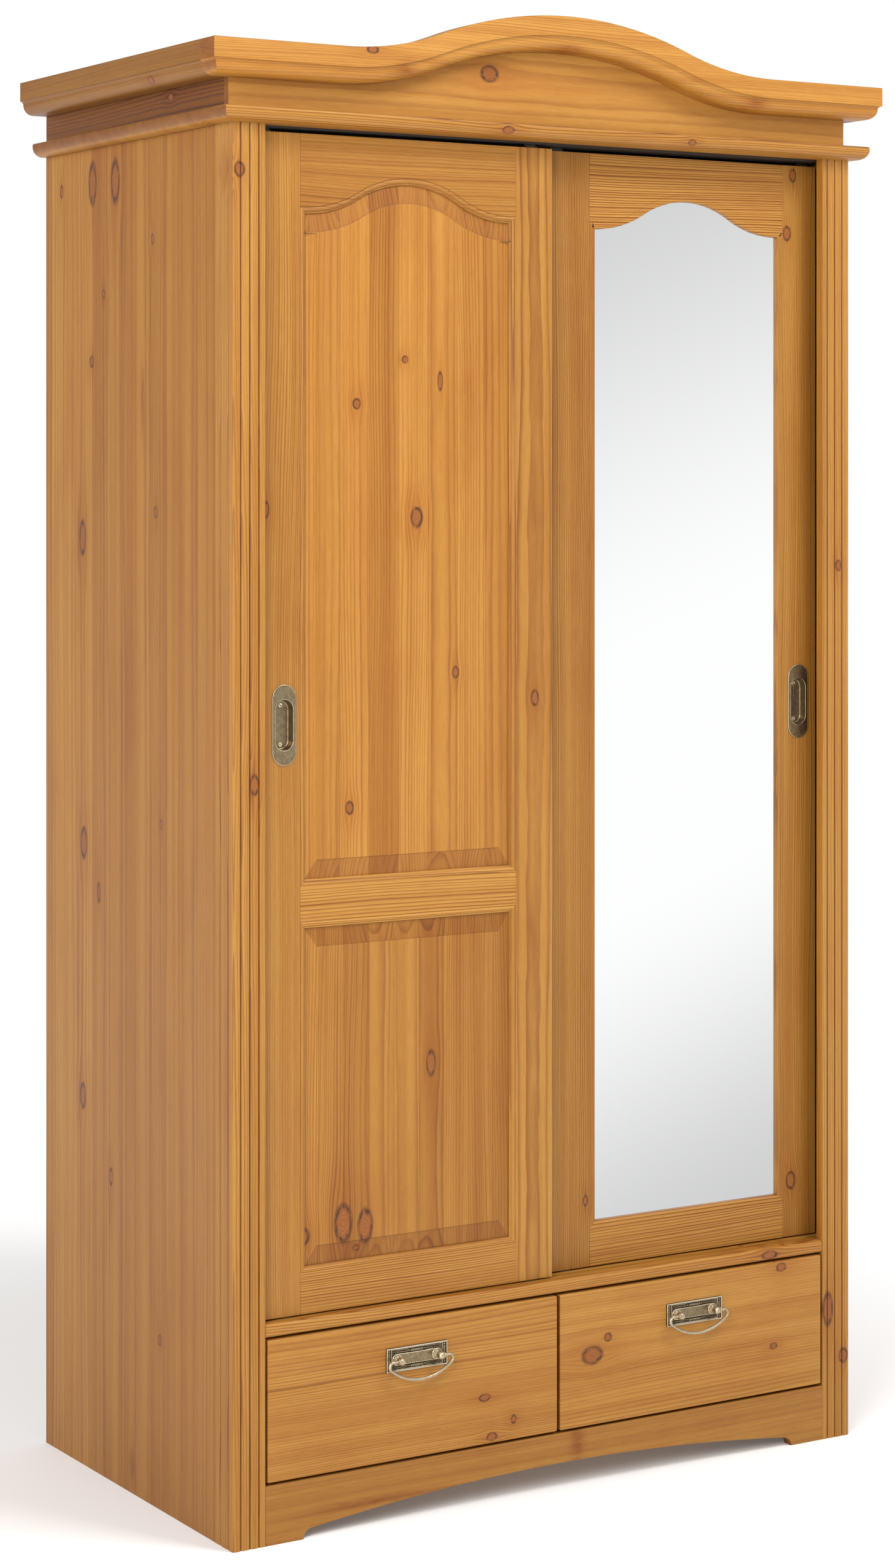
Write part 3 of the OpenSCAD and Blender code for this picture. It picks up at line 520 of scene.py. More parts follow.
def pine(name, axes, seed, pith, tint=1.0, red=0.0, ring=1.0, strength=1.0, staves=0.0,
         knots=(), streaks=(), oiled=True, bevelled=False, groove_shade=False):
    """Pine whose grain runs along the first of the three axes named.

    Growth rings are circles round a pith line that lies behind the face: the ring number is
    the distance to the pith over the ring width, bent by slow noise, and each ring darkens
    towards its end and then stops short. Round a knot the rings are pushed apart, by moving
    points near the knot towards its middle before the distance is taken. Glued staves each
    get their own shift along and across. Fine stretched noise makes fibres and flecks.
    Where the mesh carries its relief, shade is painted into the grooves by darkening their colour.

    A knot is its place along and across the grain, its radius, and how far it is stretched
    along the grain. A streak is its place along and across, its length and its width."""
    timber = bpy.context.scene.wardrobe_timber
    material, tree, shader = new_material(name)
    xyz = coordinates(tree)
    along, across, deep = (xyz["xyz".index(a)] for a in axes)
    place = vector(tree, along, across, deep)
    tilt = facing(tree, "xyz".index(axes[0]))
    end_grain = tilt.smooth(0.05, 0.12) * 0.75 if bevelled else tilt.smooth(0.55, 0.95)
    pith_across, pith_deep = pith
    base_across, base_along, stave_tone, joint = across, along, None, None
    if staves:
        position = across / staves + (40.37 + seed * 0.13)
        chance = tree.nodes.new("ShaderNodeTexWhiteNoise")
        chance.noise_dimensions = "1D"
        feed(chance.inputs["W"], position.do("FLOOR") + seed * 7.31)
        split = tree.nodes.new("ShaderNodeSeparateColor")
        tree.links.new(split.inputs[0], chance.outputs["Color"])
        one, two, stave_tone = (Field(tree, s) for s in split.outputs)
        within = position.do("FRACT")
        joint = (within * 2.0 - 1.0).do("ABSOLUTE").smooth(0.955, 0.99)
        base_across = within * staves + (one - 0.5) * 0.16
        base_along = along + two * 5.0
    ragged = (noise(place, (60, 260, 260), seed + 0.5, 2.0) - 0.5)
    heart = rim = halo = None
    for k_along, k_across, size, stretch in knots:
        u = (across - k_across) / size
        v = (along - k_along) / (size * stretch)
        base_across = base_across - (across - k_across) * (
            (u * u * 0.30 + v * v * 0.16) * -1.0).do("EXPONENT") * 0.92
        reach = (u * u + v * v).do("SQRT") + ragged * 0.45
        inside = 1.0 - reach.smooth(0.84, 1.02)
        core = inside * ((reach * 4.3).do("FRACT").smooth(0.2, 0.9) * 0.50 + 0.50)
        edge = reach.smooth(0.62, 0.92) * (1.0 - reach.smooth(0.96, 1.30))
        edge = edge * (ragged * 2.5 + 0.80).do("ADD", 0.0, clamp=True)
        glow = ((u * u * 0.20 + v * v * 0.07) * -1.0).do("EXPONENT")
        heart = core if heart is None else heart.do("MAXIMUM", core)
        rim = edge if rim is None else rim.do("MAXIMUM", edge)
        halo = glow if halo is None else halo.do("MAXIMUM", glow)
    here = vector(tree, base_along, base_across, deep)
    slow = (noise(here, (1.3, 8, 8), seed, 1.0) - 0.5) * 0.034
    quick = (noise(here, (9, 70, 70), seed + 3, 2.0) - 0.5) * 0.0016
    a = base_across - pith_across + slow
    d = deep - pith_deep
    radius = (a * a + d * d).do("SQRT") + quick
    count = radius / (timber.ring_width * ring)
    uneven = noise(vector(tree, count * 0.37, seed, 0.0), (1, 1, 1), seed + 5, 1.0)
    turn = (count + uneven * 2.4).do("FRACT")
    line = turn.smooth(0.30, 0.95).power(1.6) * (1.0 - turn.smooth(0.94, 1.0))
    patch = noise(here, (1.4, 18, 18), seed + 8, 2.0)
    fibre = noise(place, (9, 1500, 1500), seed + 11, 2.0, 0.7)
    fine = noise(place, (34, 520, 520), seed + 14, 2.0, 0.6)
    fleck = noise(place, (55, 900, 900), seed + 15, 1.0)
    drift = noise(here, (0.9, 11, 11), seed + 17, 2.0)
    cloud = noise(place, (5, 14, 14), seed + 19, 2.0)
    band = noise(here, (0.8, 62, 62), seed + 21, 2.0)
    late = (line * (patch.smooth(0.28, 0.72) * 0.65 + 0.35) * (strength * 1.25)).do(
        "ADD", 0.0, clamp=True)
    shift = [1, 1 - 0.10 * red, 1 - 0.28 * red]
    early_tone = [c * tint * w for c, w in zip(timber.early_wood, shift)]
    late_tone = [c * tint * w for c, w in zip(timber.late_wood, shift)]
    if not oiled:
        early_tone = list(timber.inner_wood)
        late_tone = [c * w for c, w in zip(timber.inner_wood, (0.70, 0.56, 0.42))]
    colour = blend(late, early_tone, late_tone)
    colour = blend(drift.smooth(0.35, 0.72) * 0.60, colour, (0.86, 0.76, 0.60), "MULTIPLY")
    colour = blend(band.smooth(0.38, 0.68) * 0.60, colour, (0.80, 0.67, 0.48), "MULTIPLY")
    colour = blend(cloud.smooth(0.45, 0.80) * 0.40, colour, (0.82, 0.66, 0.46), "MULTIPLY")
    colour = blend(fine.smooth(0.35, 0.75) * 0.42, colour, (0.80, 0.70, 0.54), "MULTIPLY")
    colour = blend(fleck.smooth(0.66, 0.80) * 0.32, colour, (0.62, 0.44, 0.26), "MULTIPLY")
    colour = blend((1.0 - fleck.smooth(0.22, 0.36)) * 0.04, colour, (1.0, 0.84, 0.58), "SCREEN")
    if stave_tone is not None:
        colour = blend(stave_tone, colour, (0.76, 0.66, 0.50), "MULTIPLY")
        colour = blend(joint * 0.42, colour, (0.60, 0.42, 0.24), "MULTIPLY")
    for s_along, s_across, length, width in streaks:
        u = (across - s_across) / width
        v = (along - s_along) / length
        mark = ((u * u + v * v + ragged * 1.5) * -1.0).do("EXPONENT")
        colour = blend(mark.do("MULTIPLY", 0.75, clamp=True), colour, (0.62, 0.42, 0.24),
                       "MULTIPLY")
    if heart is not None:
        colour = blend(halo * 0.55, colour, (0.80, 0.60, 0.38), "MULTIPLY")
        colour = blend(heart.smooth(0.0, 0.5), colour, tuple(timber.knot_wood))
        colour = blend(heart.smooth(0.55, 1.0) * 0.55, colour, (0.55, 0.42, 0.30), "MULTIPLY")
        colour = blend(rim * 0.92, colour, (0.050, 0.016, 0.005))
    # painted shade: the colour darkens where the relief marks a groove
    if groove_shade:
        reader = tree.nodes.new("ShaderNodeAttribute")
        reader.attribute_name = "relief"
        colour = blend(Field(tree, reader.outputs["Fac"]).smooth(0.05, 0.9) * 0.80, colour,
                       (0.34, 0.22, 0.12), "MULTIPLY")
    colour = blend(end_grain * 0.85, colour,
                   (0.66, 0.52, 0.36) if bevelled else (0.50, 0.34, 0.20), "MULTIPLY")
    feed(shader.inputs["Base Color"], colour)
    feed(shader.inputs["Roughness"], (fibre - 0.5) * 0.16 + (timber.sheen if oiled else 0.62)
         - late * 0.06)
    height = fibre * 0.4 + fine * 0.3 - late * 0.35
    feed(shader.inputs["Normal"], bump(tree, height, 0.35, 0.0004))
    shader.inputs["Specular IOR Level"].default_value = 0.30
    return material


def antique_brass(name, relief=False, shade=1.0):
    """Old brass: dark in the hollows, mottled on the flats and rubbed bright on the ridges.
    Where the mesh carries its relief, height picks between the three."""
    fittings = bpy.context.scene.wardrobe_fittings
    material, tree, shader = new_material(name)
    x, y, z = coordinates(tree)
    here = vector(tree, x, y, z)
    mottle = noise(here, (900, 900, 900), 3, 3.0, 0.65)
    cloud = noise(here, (160, 160, 160), 5, 2.0)
    middle = [c * shade for c in fittings.middle_brass]
    bright = [c * shade for c in fittings.bright_brass]
    flat = blend(mottle.smooth(0.42, 0.62), middle, [c * 1.75 for c in middle])
    flat = blend(cloud.smooth(0.35, 0.65) * 0.5, flat, (0.62, 0.58, 0.5), "MULTIPLY")
    if relief:
        reader = tree.nodes.new("ShaderNodeAttribute")
        reader.attribute_name = "relief"
        level = Field(tree, reader.outputs["Fac"])
        colour = blend(1.0 - level.smooth(0.12, 0.42), flat, tuple(fittings.dark_brass))
        colour = blend(level.smooth(0.66, 0.95), colour, bright)
    else:
        about = tree.nodes.new("ShaderNodeNewGeometry")
        ridge = Field(tree, about.outputs["Pointiness"]).smooth(0.50, 0.56)
        colour = blend(ridge * 0.7, flat, bright)
    feed(shader.inputs["Base Color"], colour)
    feed(shader.inputs["Roughness"], mottle * 0.25 + 0.26)
    feed(shader.inputs["Normal"], bump(tree, mottle, 0.25, 0.0002))
    shader.inputs["Metallic"].default_value = 1.0
    return material


def mirror_finish():
    """Silvered glass, all but perfectly smooth."""
    material, tree, shader = new_material("mirror")
    shader.inputs["Base Color"].default_value = (*bpy.context.scene.wardrobe_fittings.silver, 1)
    shader.inputs["Metallic"].default_value = 1.0
    x, y, z = coordinates(tree)
    haze = noise(vector(tree, x, y, z), (3, 3, 3), 2, 1.0)
    feed(shader.inputs["Roughness"], haze * 0.02 + 0.01)
    return material


def plastic(name, tone, rough):
    """Moulded plastic with a faint cloudiness and a fine grain."""
    material, tree, shader = new_material(name)
    x, y, z = coordinates(tree)
    here = vector(tree, x, y, z)
    cloud = noise(here, (60, 60, 60), 4, 2.0)
    grain = noise(here, (1800, 1800, 1800), 6, 2.0)
    feed(shader.inputs["Base Color"], blend(cloud, tone, [c * 0.72 for c in tone]))
    feed(shader.inputs["Roughness"], grain * 0.15 + rough)
    feed(shader.inputs["Normal"], bump(tree, grain, 0.2, 0.0001))
    return material


# ---- carcass ----

def post_outline():
    """Section of the right-hand post, from the outer back corner round the reeded faces.
    Each groove is a soft V: its depth falls off with the distance from its middle."""
    joinery = bpy.context.scene.wardrobe_joinery
    low, high = box("post_right")
    width, depth, leg = high[0] - low[0], high[1] - low[1], box("left_door_outer_stile")[0][1] - low[1]
    leg -= 1.5 * MM
    side = box("side_panel_right")
    thick = side[1][0] - side[0][0]

    def grooved(u, centres):
        return sum(joinery.reed_depth * np.exp(-np.abs((u - c * MM) / (1.15 * MM)) ** 1.3)
                   for c in centres)

    u = np.linspace(3 * MM, width - 1 * MM, 190)
    v = np.linspace(3 * MM, depth, 150)
    cut_front, cut_flank = grooved(u, (12.5, 26.2, 40)), grooved(v, (15, 37))
    front = np.stack([high[0] - u, low[1] + cut_front], 1)
    flank = np.stack([high[0] - cut_flank, low[1] + v], 1)
    corner = arc((high[0] - 3 * MM, low[1] + 3 * MM), 3 * MM, 0, -90, 6)[1:-1]
    inner = arc((low[0] + 1 * MM, low[1] + 1 * MM), 1 * MM, -90, -180, 3)
    rest = [[low[0], low[1] + leg], [high[0] - thick, low[1] + leg], [high[0] - thick, high[1]]]
    outline = np.concatenate([flank[::-1], corner, front, inner, np.array(rest)])[::-1]
    cut = np.concatenate([cut_flank[::-1], np.zeros(len(corner)), cut_front,
                          np.zeros(len(inner) + 3)])[::-1]
    return outline, cut / joinery.reed_depth


class WARDROBE_OT_posts(bpy.types.Operator):
    """Reeded corner posts"""
    bl_idname = "wardrobe.posts"
    bl_label = "Corner posts"

    def execute(self, context):
        outline, cut = post_outline()
        levels = box("post_right")
        z = np.array([levels[0][2], levels[1][2]])
        rings = np.array([placed(outline, h, "xyz") for h in z])
        knots = {"left": ((1.842, -0.510, 0.0075, 1.3), (1.02, -0.487, 0.006, 2.2)),
                 "right": ((0.120, 0.509, 0.008, 1.3), (0.193, 0.480, 0.009, 2.6),
                           (1.30, 0.50, 0.005, 1.6))}
        for sign, hand in ((-1, "left"), (1, "right")):
            # the reeding's grooves get painted shade in their colour
            wood = pine(f"post_{hand}_pine", "zxy", 2.0 + sign, (sign * 0.62, FRONT - 0.12),
                        tint=0.98, strength=0.6, ring=0.8, knots=knots[hand],
                        groove_shade=True)
            piece(f"reeded_post_{hand}", [mirrored(shell(rings), sign)], "carcass",
                  wood, [f"post_{hand}"], relief=np.tile(cut, 2))
        return {"FINISHED"}


class WARDROBE_OT_side_panels(bpy.types.Operator):
    """Edge-glued side panels and the boarded back"""
    bl_idname = "wardrobe.side_panels"
    bl_label = "Side panels and back"

    def execute(self, context):
        arris = context.scene.wardrobe_timber.arris
        for hand, seed in (("left", 11.0), ("right", 12.0)):
            low, high = box(f"side_panel_{hand}")
            sign = -1 if hand == "left" else 1
            wood = pine(f"side_{hand}_pine", "zyx", seed, (0.02, sign * (HALF - 0.09)),
                        tint=1.0, red=0.1, strength=0.5, staves=0.047, ring=1.1,
                        knots=SIDE_KNOTS if hand == "left" else SIDE_KNOTS[1::2],
                        streaks=((1.54, -0.012, 0.05, 0.006), (0.04, 0.02, 0.03, 0.008)))
            back = box("back_boards")[0][1]
            inner = low[0] if sign > 0 else high[0]
            outer = high[0] if sign > 0 else low[0]
            rebate = box("back_boards")[1][0]
            outline = np.array([[abs(inner), low[1]], [abs(outer), low[1]], [abs(outer), high[1]],
                                [rebate, high[1]], [rebate, back], [abs(inner), back]])
            part = slab(outline, low[2], high[2], arris, "xyz", 2)
            piece(f"glued_panel_{hand}", [mirrored(part, sign)], "carcass", wood,
                  [f"side_panel_{hand}"])
        low, high = box("back_boards")
        count = 9
        edges = np.linspace(low[0], high[0], count + 1)
        boards = [board([a + 0.1 * MM, low[1], low[2]], [b - 0.1 * MM, high[1], high[2]],
                        1.6 * MM) for a, b in zip(edges[:-1], edges[1:])]
        wood = pine("back_pine", "zxy", 13.0, (0.03, BACK + 0.06), staves=edges[1] - edges[0],
                    oiled=False, knots=((1.2, 0.12, 0.012, 1.4), (0.6, -0.3, 0.010, 1.3)))
        piece("tongued_back_boards", boards, "carcass", wood, ["back_boards"])
        return {"FINISHED"}


SIDE_KNOTS = (
    (1.855, 0.150, 0.012, 2.4), (1.853, 0.075, 0.013, 2.3), (1.851, 0.255, 0.005, 1.8),
    (1.763, -0.043, 0.004, 1.8), (1.694, 0.113, 0.004, 1.5), (1.598, 0.153, 0.006, 1.3),
    (1.383, -0.053, 0.005, 1.5), (1.344, 0.183, 0.010, 2.4), (0.902, 0.179, 0.010, 2.2),
    (0.835, 0.129, 0.005, 2.8), (0.950, -0.070, 0.004, 1.6), (0.535, 0.182, 0.009, 2.0),
    (0.434, 0.089, 0.005, 2.4), (0.235, -0.066, 0.0045, 1.6))


def plinth_outline():
    """Plinth: feet, a quarter-round cove beside each, and one flat arc between the coves."""
    joinery = bpy.context.scene.wardrobe_joinery
    low, high = box("plinth_board")
    cove, rise = joinery.plinth_cove, joinery.plinth_rise
    foot_edge = 0.412        # inner edge of each foot, from the middle
    half = foot_edge - cove
    big = (half ** 2 + rise ** 2) / (2 * rise)
    x = np.linspace(-half, half, 49)[1:-1]
    arch = np.stack([x, cove + rise - big + np.sqrt(big ** 2 - x ** 2)], 1)
    left = arc((-half, 0), cove, 180, 90, 8)
    right = arc((half, 0), cove, 90, 0, 8)
    return np.concatenate([[[low[0], high[2]], [low[0], 0]], left, arch, right,
                           [[high[0], 0], [high[0], high[2]]]])


class WARDROBE_OT_base(bpy.types.Operator):
    """Plinth, floor board with its rounded front edge, and the top board"""
    bl_idname = "wardrobe.base"
    bl_label = "Plinth, floor and top"

    def execute(self, context):
        low, high = box("plinth_board")
        wood = pine("plinth_pine", "xzy", 21.0, (-0.03, FRONT + 0.10), tint=0.80, red=0.35,
                    strength=0.30, ring=1.6, streaks=((-0.30, 0.035, 0.10, 0.006),
                                                      (0.031, 0.064, 0.012, 0.030)))
        piece("arched_plinth", [slab(plinth_outline(), low[1], high[1], 1.2 * MM)], "carcass",
              wood, ["plinth_board"])
        self.floor(context)
        self.top(context)
        return {"FINISHED"}

    def floor(self, context):
        """The nose fills the space between the posts; behind it the board is full width,
        with two grooves for the glides: its section is carried from side to side."""
        low, high = box("floor_board")
        nose_x = box("plinth_board")[1][0]
        step = FRONT + 15 * MM
        r = 5 * MM
        section = np.concatenate([
            arc((low[1] + r, low[2] + r), r, 180, 270, 8), [[step, low[2]], [step, high[2]]],
            arc((low[1] + r, high[2] - r), r, 90, 180, 8)])
        ends = np.array([-nose_x, -nose_x + 0.4 * MM, -nose_x + 1.2 * MM, -nose_x + 2.6 * MM])
        pull = np.array([2.6, 1.2, 0.4, 0.0]) * MM
        x = np.concatenate([ends, -ends[::-1]])
        shrink = np.concatenate([pull, pull[::-1]])
        rings = []
        for station, gap in zip(x, shrink):
            ring = placed(section, station, "yzx")
            ring[:, 1] = np.where(ring[:, 1] < step - 1e-6, ring[:, 1] + gap * (step - ring[:, 1])
                                  / (step - low[1]), ring[:, 1])
            rings.append(ring)
        nose = shell(np.array(rings))
        grooves = []
        for hand in ("left", "right"):
            g_low, g_high = box(f"{hand}_door_glides")
            middle = (g_low[1] + g_high[1]) / 2
            grooves.append((middle - 4 * MM, middle + 4 * MM))
        top, sunk = high[2], high[2] - 5 * MM
        profile = [[step, low[2]], [high[1], low[2]], [high[1], top]]
        for a, b in reversed(grooves):
            profile += [[b, top], [b, sunk], [a, sunk], [a, top]]
        profile += [[step, top]]
        rings = np.array([placed(np.array(profile), s, "yzx") for s in (low[0], high[0])])
        wood = pine("floor_pine", "xzy", 23.0, (low[2] - 0.09, FRONT + 0.03), strength=0.8,
                    knots=((0.372, low[2] + 0.008, 0.006, 2.2),))
        piece("nosed_floor_board", [nose, shell(rings)], "carcass", wood,
              ["floor_board"])

    def top(self, context):
        """A stack of rectangles, each drawn out by the nosing's profile: a big quarter
        round below and a small one above, mitred at the front corners."""
        low, high = box("top_board")
        over, thick = high[0] - HALF, high[2] - low[2]
        big, small = 15 * MM, 3 * MM
        profile = np.concatenate([arc((over - big, big), big, -90, 0, 10),
                                  arc((over - small, thick - small), small, 0, 90, 4)])
        rings = np.array([placed(rectangle([-HALF - out, FRONT - out], [HALF + out, BACK]),
                                 low[2] + rise, "xyz") for out, rise in profile])
        t_low, t_high = box("door_top_track")
        points, faces = strip(rings)
        n = len(points)
        hole = rectangle(t_low[:2] - [0, 0.01 * MM], t_high[:2] + [0, 0.01 * MM])
        walls = np.array([placed(hole, low[2], "xyz"), placed(hole, t_high[2], "xyz")])
        wall_points, wall_faces = strip(walls)
        faces += ring_face(rings[0], walls[0], n)
        faces.append(tuple(range(n - 4, n)))
        faces += [tuple(n + i for i in reversed(f)) for f in wall_faces]
        faces.append(tuple(n + 4 + i for i in range(4)))
        wood = pine("top_pine", "xzy", 25.0, (low[2] - 0.06, FRONT + 0.05), tint=0.97,
                    strength=0.8, knots=((-0.098, low[2] + 0.010, 0.005, 1.8),
                                         (0.217, low[2] + 0.009, 0.004, 1.6)))
        piece("nosed_top_board", [outward(np.concatenate([points, wall_points]), faces)],
              "carcass", wood, ["top_board"])


# ---- crown ----

def crown_wave(x):
    joinery = bpy.context.scene.wardrobe_joinery
    return ogee(x, joinery.crown_span, joinery.crown_knee, joinery.crown_rise)


def cornice_section(out, inner, height):
    """Cornice section as [out, up]: level underside, quarter round, cove and fascia."""
    return np.concatenate([
        [[-inner, height], [-inner, 0]], arc((out - 20 * MM, 15 * MM), 15 * MM, -90, 0, 12),
        arc((out, 15 * MM), 5 * MM, 180, 90, 6),
        [[out - 0.1 * MM, 20.2 * MM], [out, 20.6 * MM], [out, height - 0.8 * MM],
         [out - 0.8 * MM, height]]])


class WARDROBE_OT_crown(bpy.types.Operator):
    """Frieze boards and the arched cornice"""
    bl_idname = "wardrobe.crown"
    bl_label = "Crown"

    def execute(self, context):
        arris = context.scene.wardrobe_timber.arris
        low, high = box("frieze_front")
        level = box("frieze_left")[1][2]
        x = np.linspace(high[0], low[0], 121)
        outline = np.concatenate([[[low[0], low[2]], [high[0], low[2]]],
                                  np.stack([x, level + crown_wave(x)], 1)])
        wood = pine("frieze_pine", "xzy", 31.0, (1.98, FRONT + 0.16), tint=1.06,
                    strength=0.35, knots=((-0.108, 1.996, 0.011, 1.25),))
        piece("frieze_board_front", [slab(outline, low[1], high[1], 0.4 * MM, steps=1)],
              "carcass", wood, ["frieze_front"])
        for hand, sign in (("left", -1), ("right", 1)):
            low, high = box(f"frieze_{hand}")
            wood = pine(f"frieze_{hand}_pine", "yzx", 33.0 + sign, (1.90, sign * 0.45),
                        tint=0.52, red=2.6, strength=0.9,
                        knots=((-0.10, 1.955, 0.006, 1.2),))
            piece(f"frieze_board_{hand}", [board(low, high, arris, "yzx")], "carcass",
                  wood, [f"frieze_{hand}"])
        self.cornice(context)
        return {"FINISHED"}

    def cornice(self, context):
        """The front section is carried from one return, round the mitre, up over the wave
        and down to the other; the side pieces butt against its back face."""
        low, high = box("cornice_front")
        base, height = low[2], 47.5 * MM
        frieze_y = box("frieze_front")[0][1]
        out = frieze_y - low[1]
        side_out = high[0] - HALF
        turn = side_out - out
        wave_end = 0.36      # the wave has run level by here, on either side of the middle
        x = np.linspace(-wave_end, wave_end, 97)
        stations = [[-HALF - turn, high[1], base], [-HALF - turn, frieze_y, base]]
        outs = [[-1, 0, 0], [-1, -1, 0]]
        stations += [[a, frieze_y, base + b] for a, b in zip(x, crown_wave(x))]
        outs += [[0, -1, 0]] * len(x)
        stations += [[HALF + turn, frieze_y, base], [HALF + turn, high[1], base]]
        outs += [[1, -1, 0], [1, 0, 0]]
        section = cornice_section(out, high[1] - frieze_y, height)
        wood = pine("cornice_pine", "xzy", 36.0, (base - 0.20, FRONT + 0.05), tint=1.10,
                    strength=0.5, knots=((-0.320, 2.011, 0.005, 1.8),),
                    streaks=((-0.267, 1.990, 0.016, 0.010), (0.005, 2.034, 0.028, 0.007),
                             (0.331, 1.978, 0.022, 0.009)))
        piece("cornice_moulding_front", [sweep(section, stations, outs)], "carcass",
              wood, ["cornice_front"], weld=True)
        for hand, sign in (("left", -1), ("right", 1)):
            low, high = box(f"cornice_{hand}")
            section = cornice_section(side_out, 6 * MM, height)
            stations = [[HALF, low[1], base], [HALF, high[1], base]]
            part = sweep(section, stations, [[1, 0, 0]] * 2)
            wood = pine(f"cornice_{hand}_pine", "yzx", 38.0 + sign, (1.90, sign * 0.50),
                        tint=0.60, red=1.2, strength=0.4,
                        knots=((-0.11, 1.975, 0.005, 1.6),))
            piece(f"cornice_moulding_{hand}", [mirrored(part, sign)], "carcass",
                  wood, [f"cornice_{hand}"])


# ---- doors ----

STICKING = np.array([[0, 0.3], [0.4, 1.0], [0.9, 1.15], [1.5, 0.7], [2.3, 0.15], [3.4, 0.0],
                     [4.6, 0.2], [5.7, 0.9], [6.5, 1.9], [6.9, 2.9], [7.3, 3.15], [8.2, 3.3],
                     [9.0, 3.8], [9.4, 4.7], [9.5, 5.6], [9.5, 6.0], [0, 6.0]]) * MM
ROUNDED = np.array([[0, 0.2], [0.3, 0.0], [7.6, 0], [8.7, 0.35], [9.3, 1.0], [9.5, 1.9],
                    [9.5, 6.0], [0, 6.0]]) * MM
REAR_LIP = np.array([[0, 12], [9.5, 12], [9.5, 17.2], [8.7, 18], [0, 18]]) * MM


class Door:
    """The lines of one door, read from the frame: flat edges of its stiles and rails, the
    plane of its front, and the outline of an opening under its arched top rail."""

    def __init__(self, hand, left_stile, right_stile):
        joinery = bpy.context.scene.wardrobe_joinery
        self.hand = hand
        a, b = box(left_stile), box(right_stile)
        self.x0, self.x1 = a[0][0], b[1][0]
        self.field_x0, self.field_x1 = a[1][0] - joinery.lip, b[0][0] + joinery.lip
        self.front, self.thick = a[0][1], a[1][1] - a[0][1]
        self.z0, self.z1 = a[0][2], a[1][2]
        self.top = box(f"{hand}_door_top_rail")[0][2] + joinery.lip
        self.bottom = box(f"{hand}_door_bottom_rail")[1][2] - joinery.lip
        self.rise = joinery.rail_rise

    def arch(self, x):
        middle = (self.field_x0 + self.field_x1) / 2
        span = (self.field_x1 - self.field_x0) / 2 - 10 * MM
        return self.top + ogee(x - middle, span, span * 0.51, self.rise)

    def opening(self, z0, z1=None):
        """Outline of an opening; without an upper level it ends under the arch."""
        corners = [[self.field_x0, z0], [self.field_x1, z0]]
        if z1 is not None:
            return np.array(corners + [[self.field_x1, z1], [self.field_x0, z1]])
        x = np.linspace(self.field_x1, self.field_x0, 73)
        return np.concatenate([corners, np.stack([x, self.arch(x)], 1)])

    def moulding(self, outline, first, last, profile):
        """The moulding along the outline's corners first to last, mitred at both ends: one
        line for each profile point, drawn inwards by its width."""
        run = np.arange(first, last + 1) % len(outline)
        lines = [placed(inset(outline, w)[run], self.front + d, "xzy") for w, d in profile]
        return shell(np.array(lines).transpose(1, 0, 2))

    def upright(self, left, hole=None, depth=0.0):
        x0, x1 = (self.x0, self.field_x0) if left else (self.field_x1, self.x1)
        arris = bpy.context.scene.wardrobe_timber.arris
        return slab(rectangle([x0, self.z0], [x1, self.z1], 1.3 * arris, 2), self.front,
                    self.front + self.thick, arris, hole=hole, hole_depth=depth)

    def level(self, z0, z1):
        arris = bpy.context.scene.wardrobe_timber.arris
        return slab(rectangle([self.field_x0, z0], [self.field_x1, z1]), self.front,
                    self.front + self.thick, arris)

    def arched_rail(self):
        arris = bpy.context.scene.wardrobe_timber.arris
        x = np.linspace(self.field_x0, self.field_x1, 73)
        outline = np.concatenate([np.stack([x, self.arch(x)], 1),
                                  [[self.field_x1, self.z1], [self.field_x0, self.z1]]])
        return slab(outline, self.front, self.front + self.thick, arris)

    def raised_panel(self, outline):
        """A flat tongue in the grooves, a slope up to the field, a small step and the
        field: each ring is the outline drawn inwards, at its own depth."""
        joinery = bpy.context.scene.wardrobe_joinery
        side, end = joinery.bevel_side, joinery.bevel_end
        rows = [(1 * MM, 1 * MM, 11.8), (1 * MM, 1 * MM, 6.2), (8.8 * MM, 8.8 * MM, 6.2),
                (side - 0.5 * MM, end - 0.5 * MM, 3.4), (side - 0.2 * MM, end - 0.2 * MM, 2.7),
                (side + 0.3 * MM, end + 0.3 * MM, 2.5)]
        rings = [placed(inset(outline, a, b), self.front + d * MM, "xzy") for a, b, d in rows]
        return shell(np.array(rings))


def stadium(radius, straight, centre, steps=16):
    """Outline of a slot with round ends, standing upright."""
    x, z = centre
    return np.concatenate([arc((x, z + straight), radius, 0, 180, steps),
                           arc((x, z - straight), radius, 180, 360, steps)])


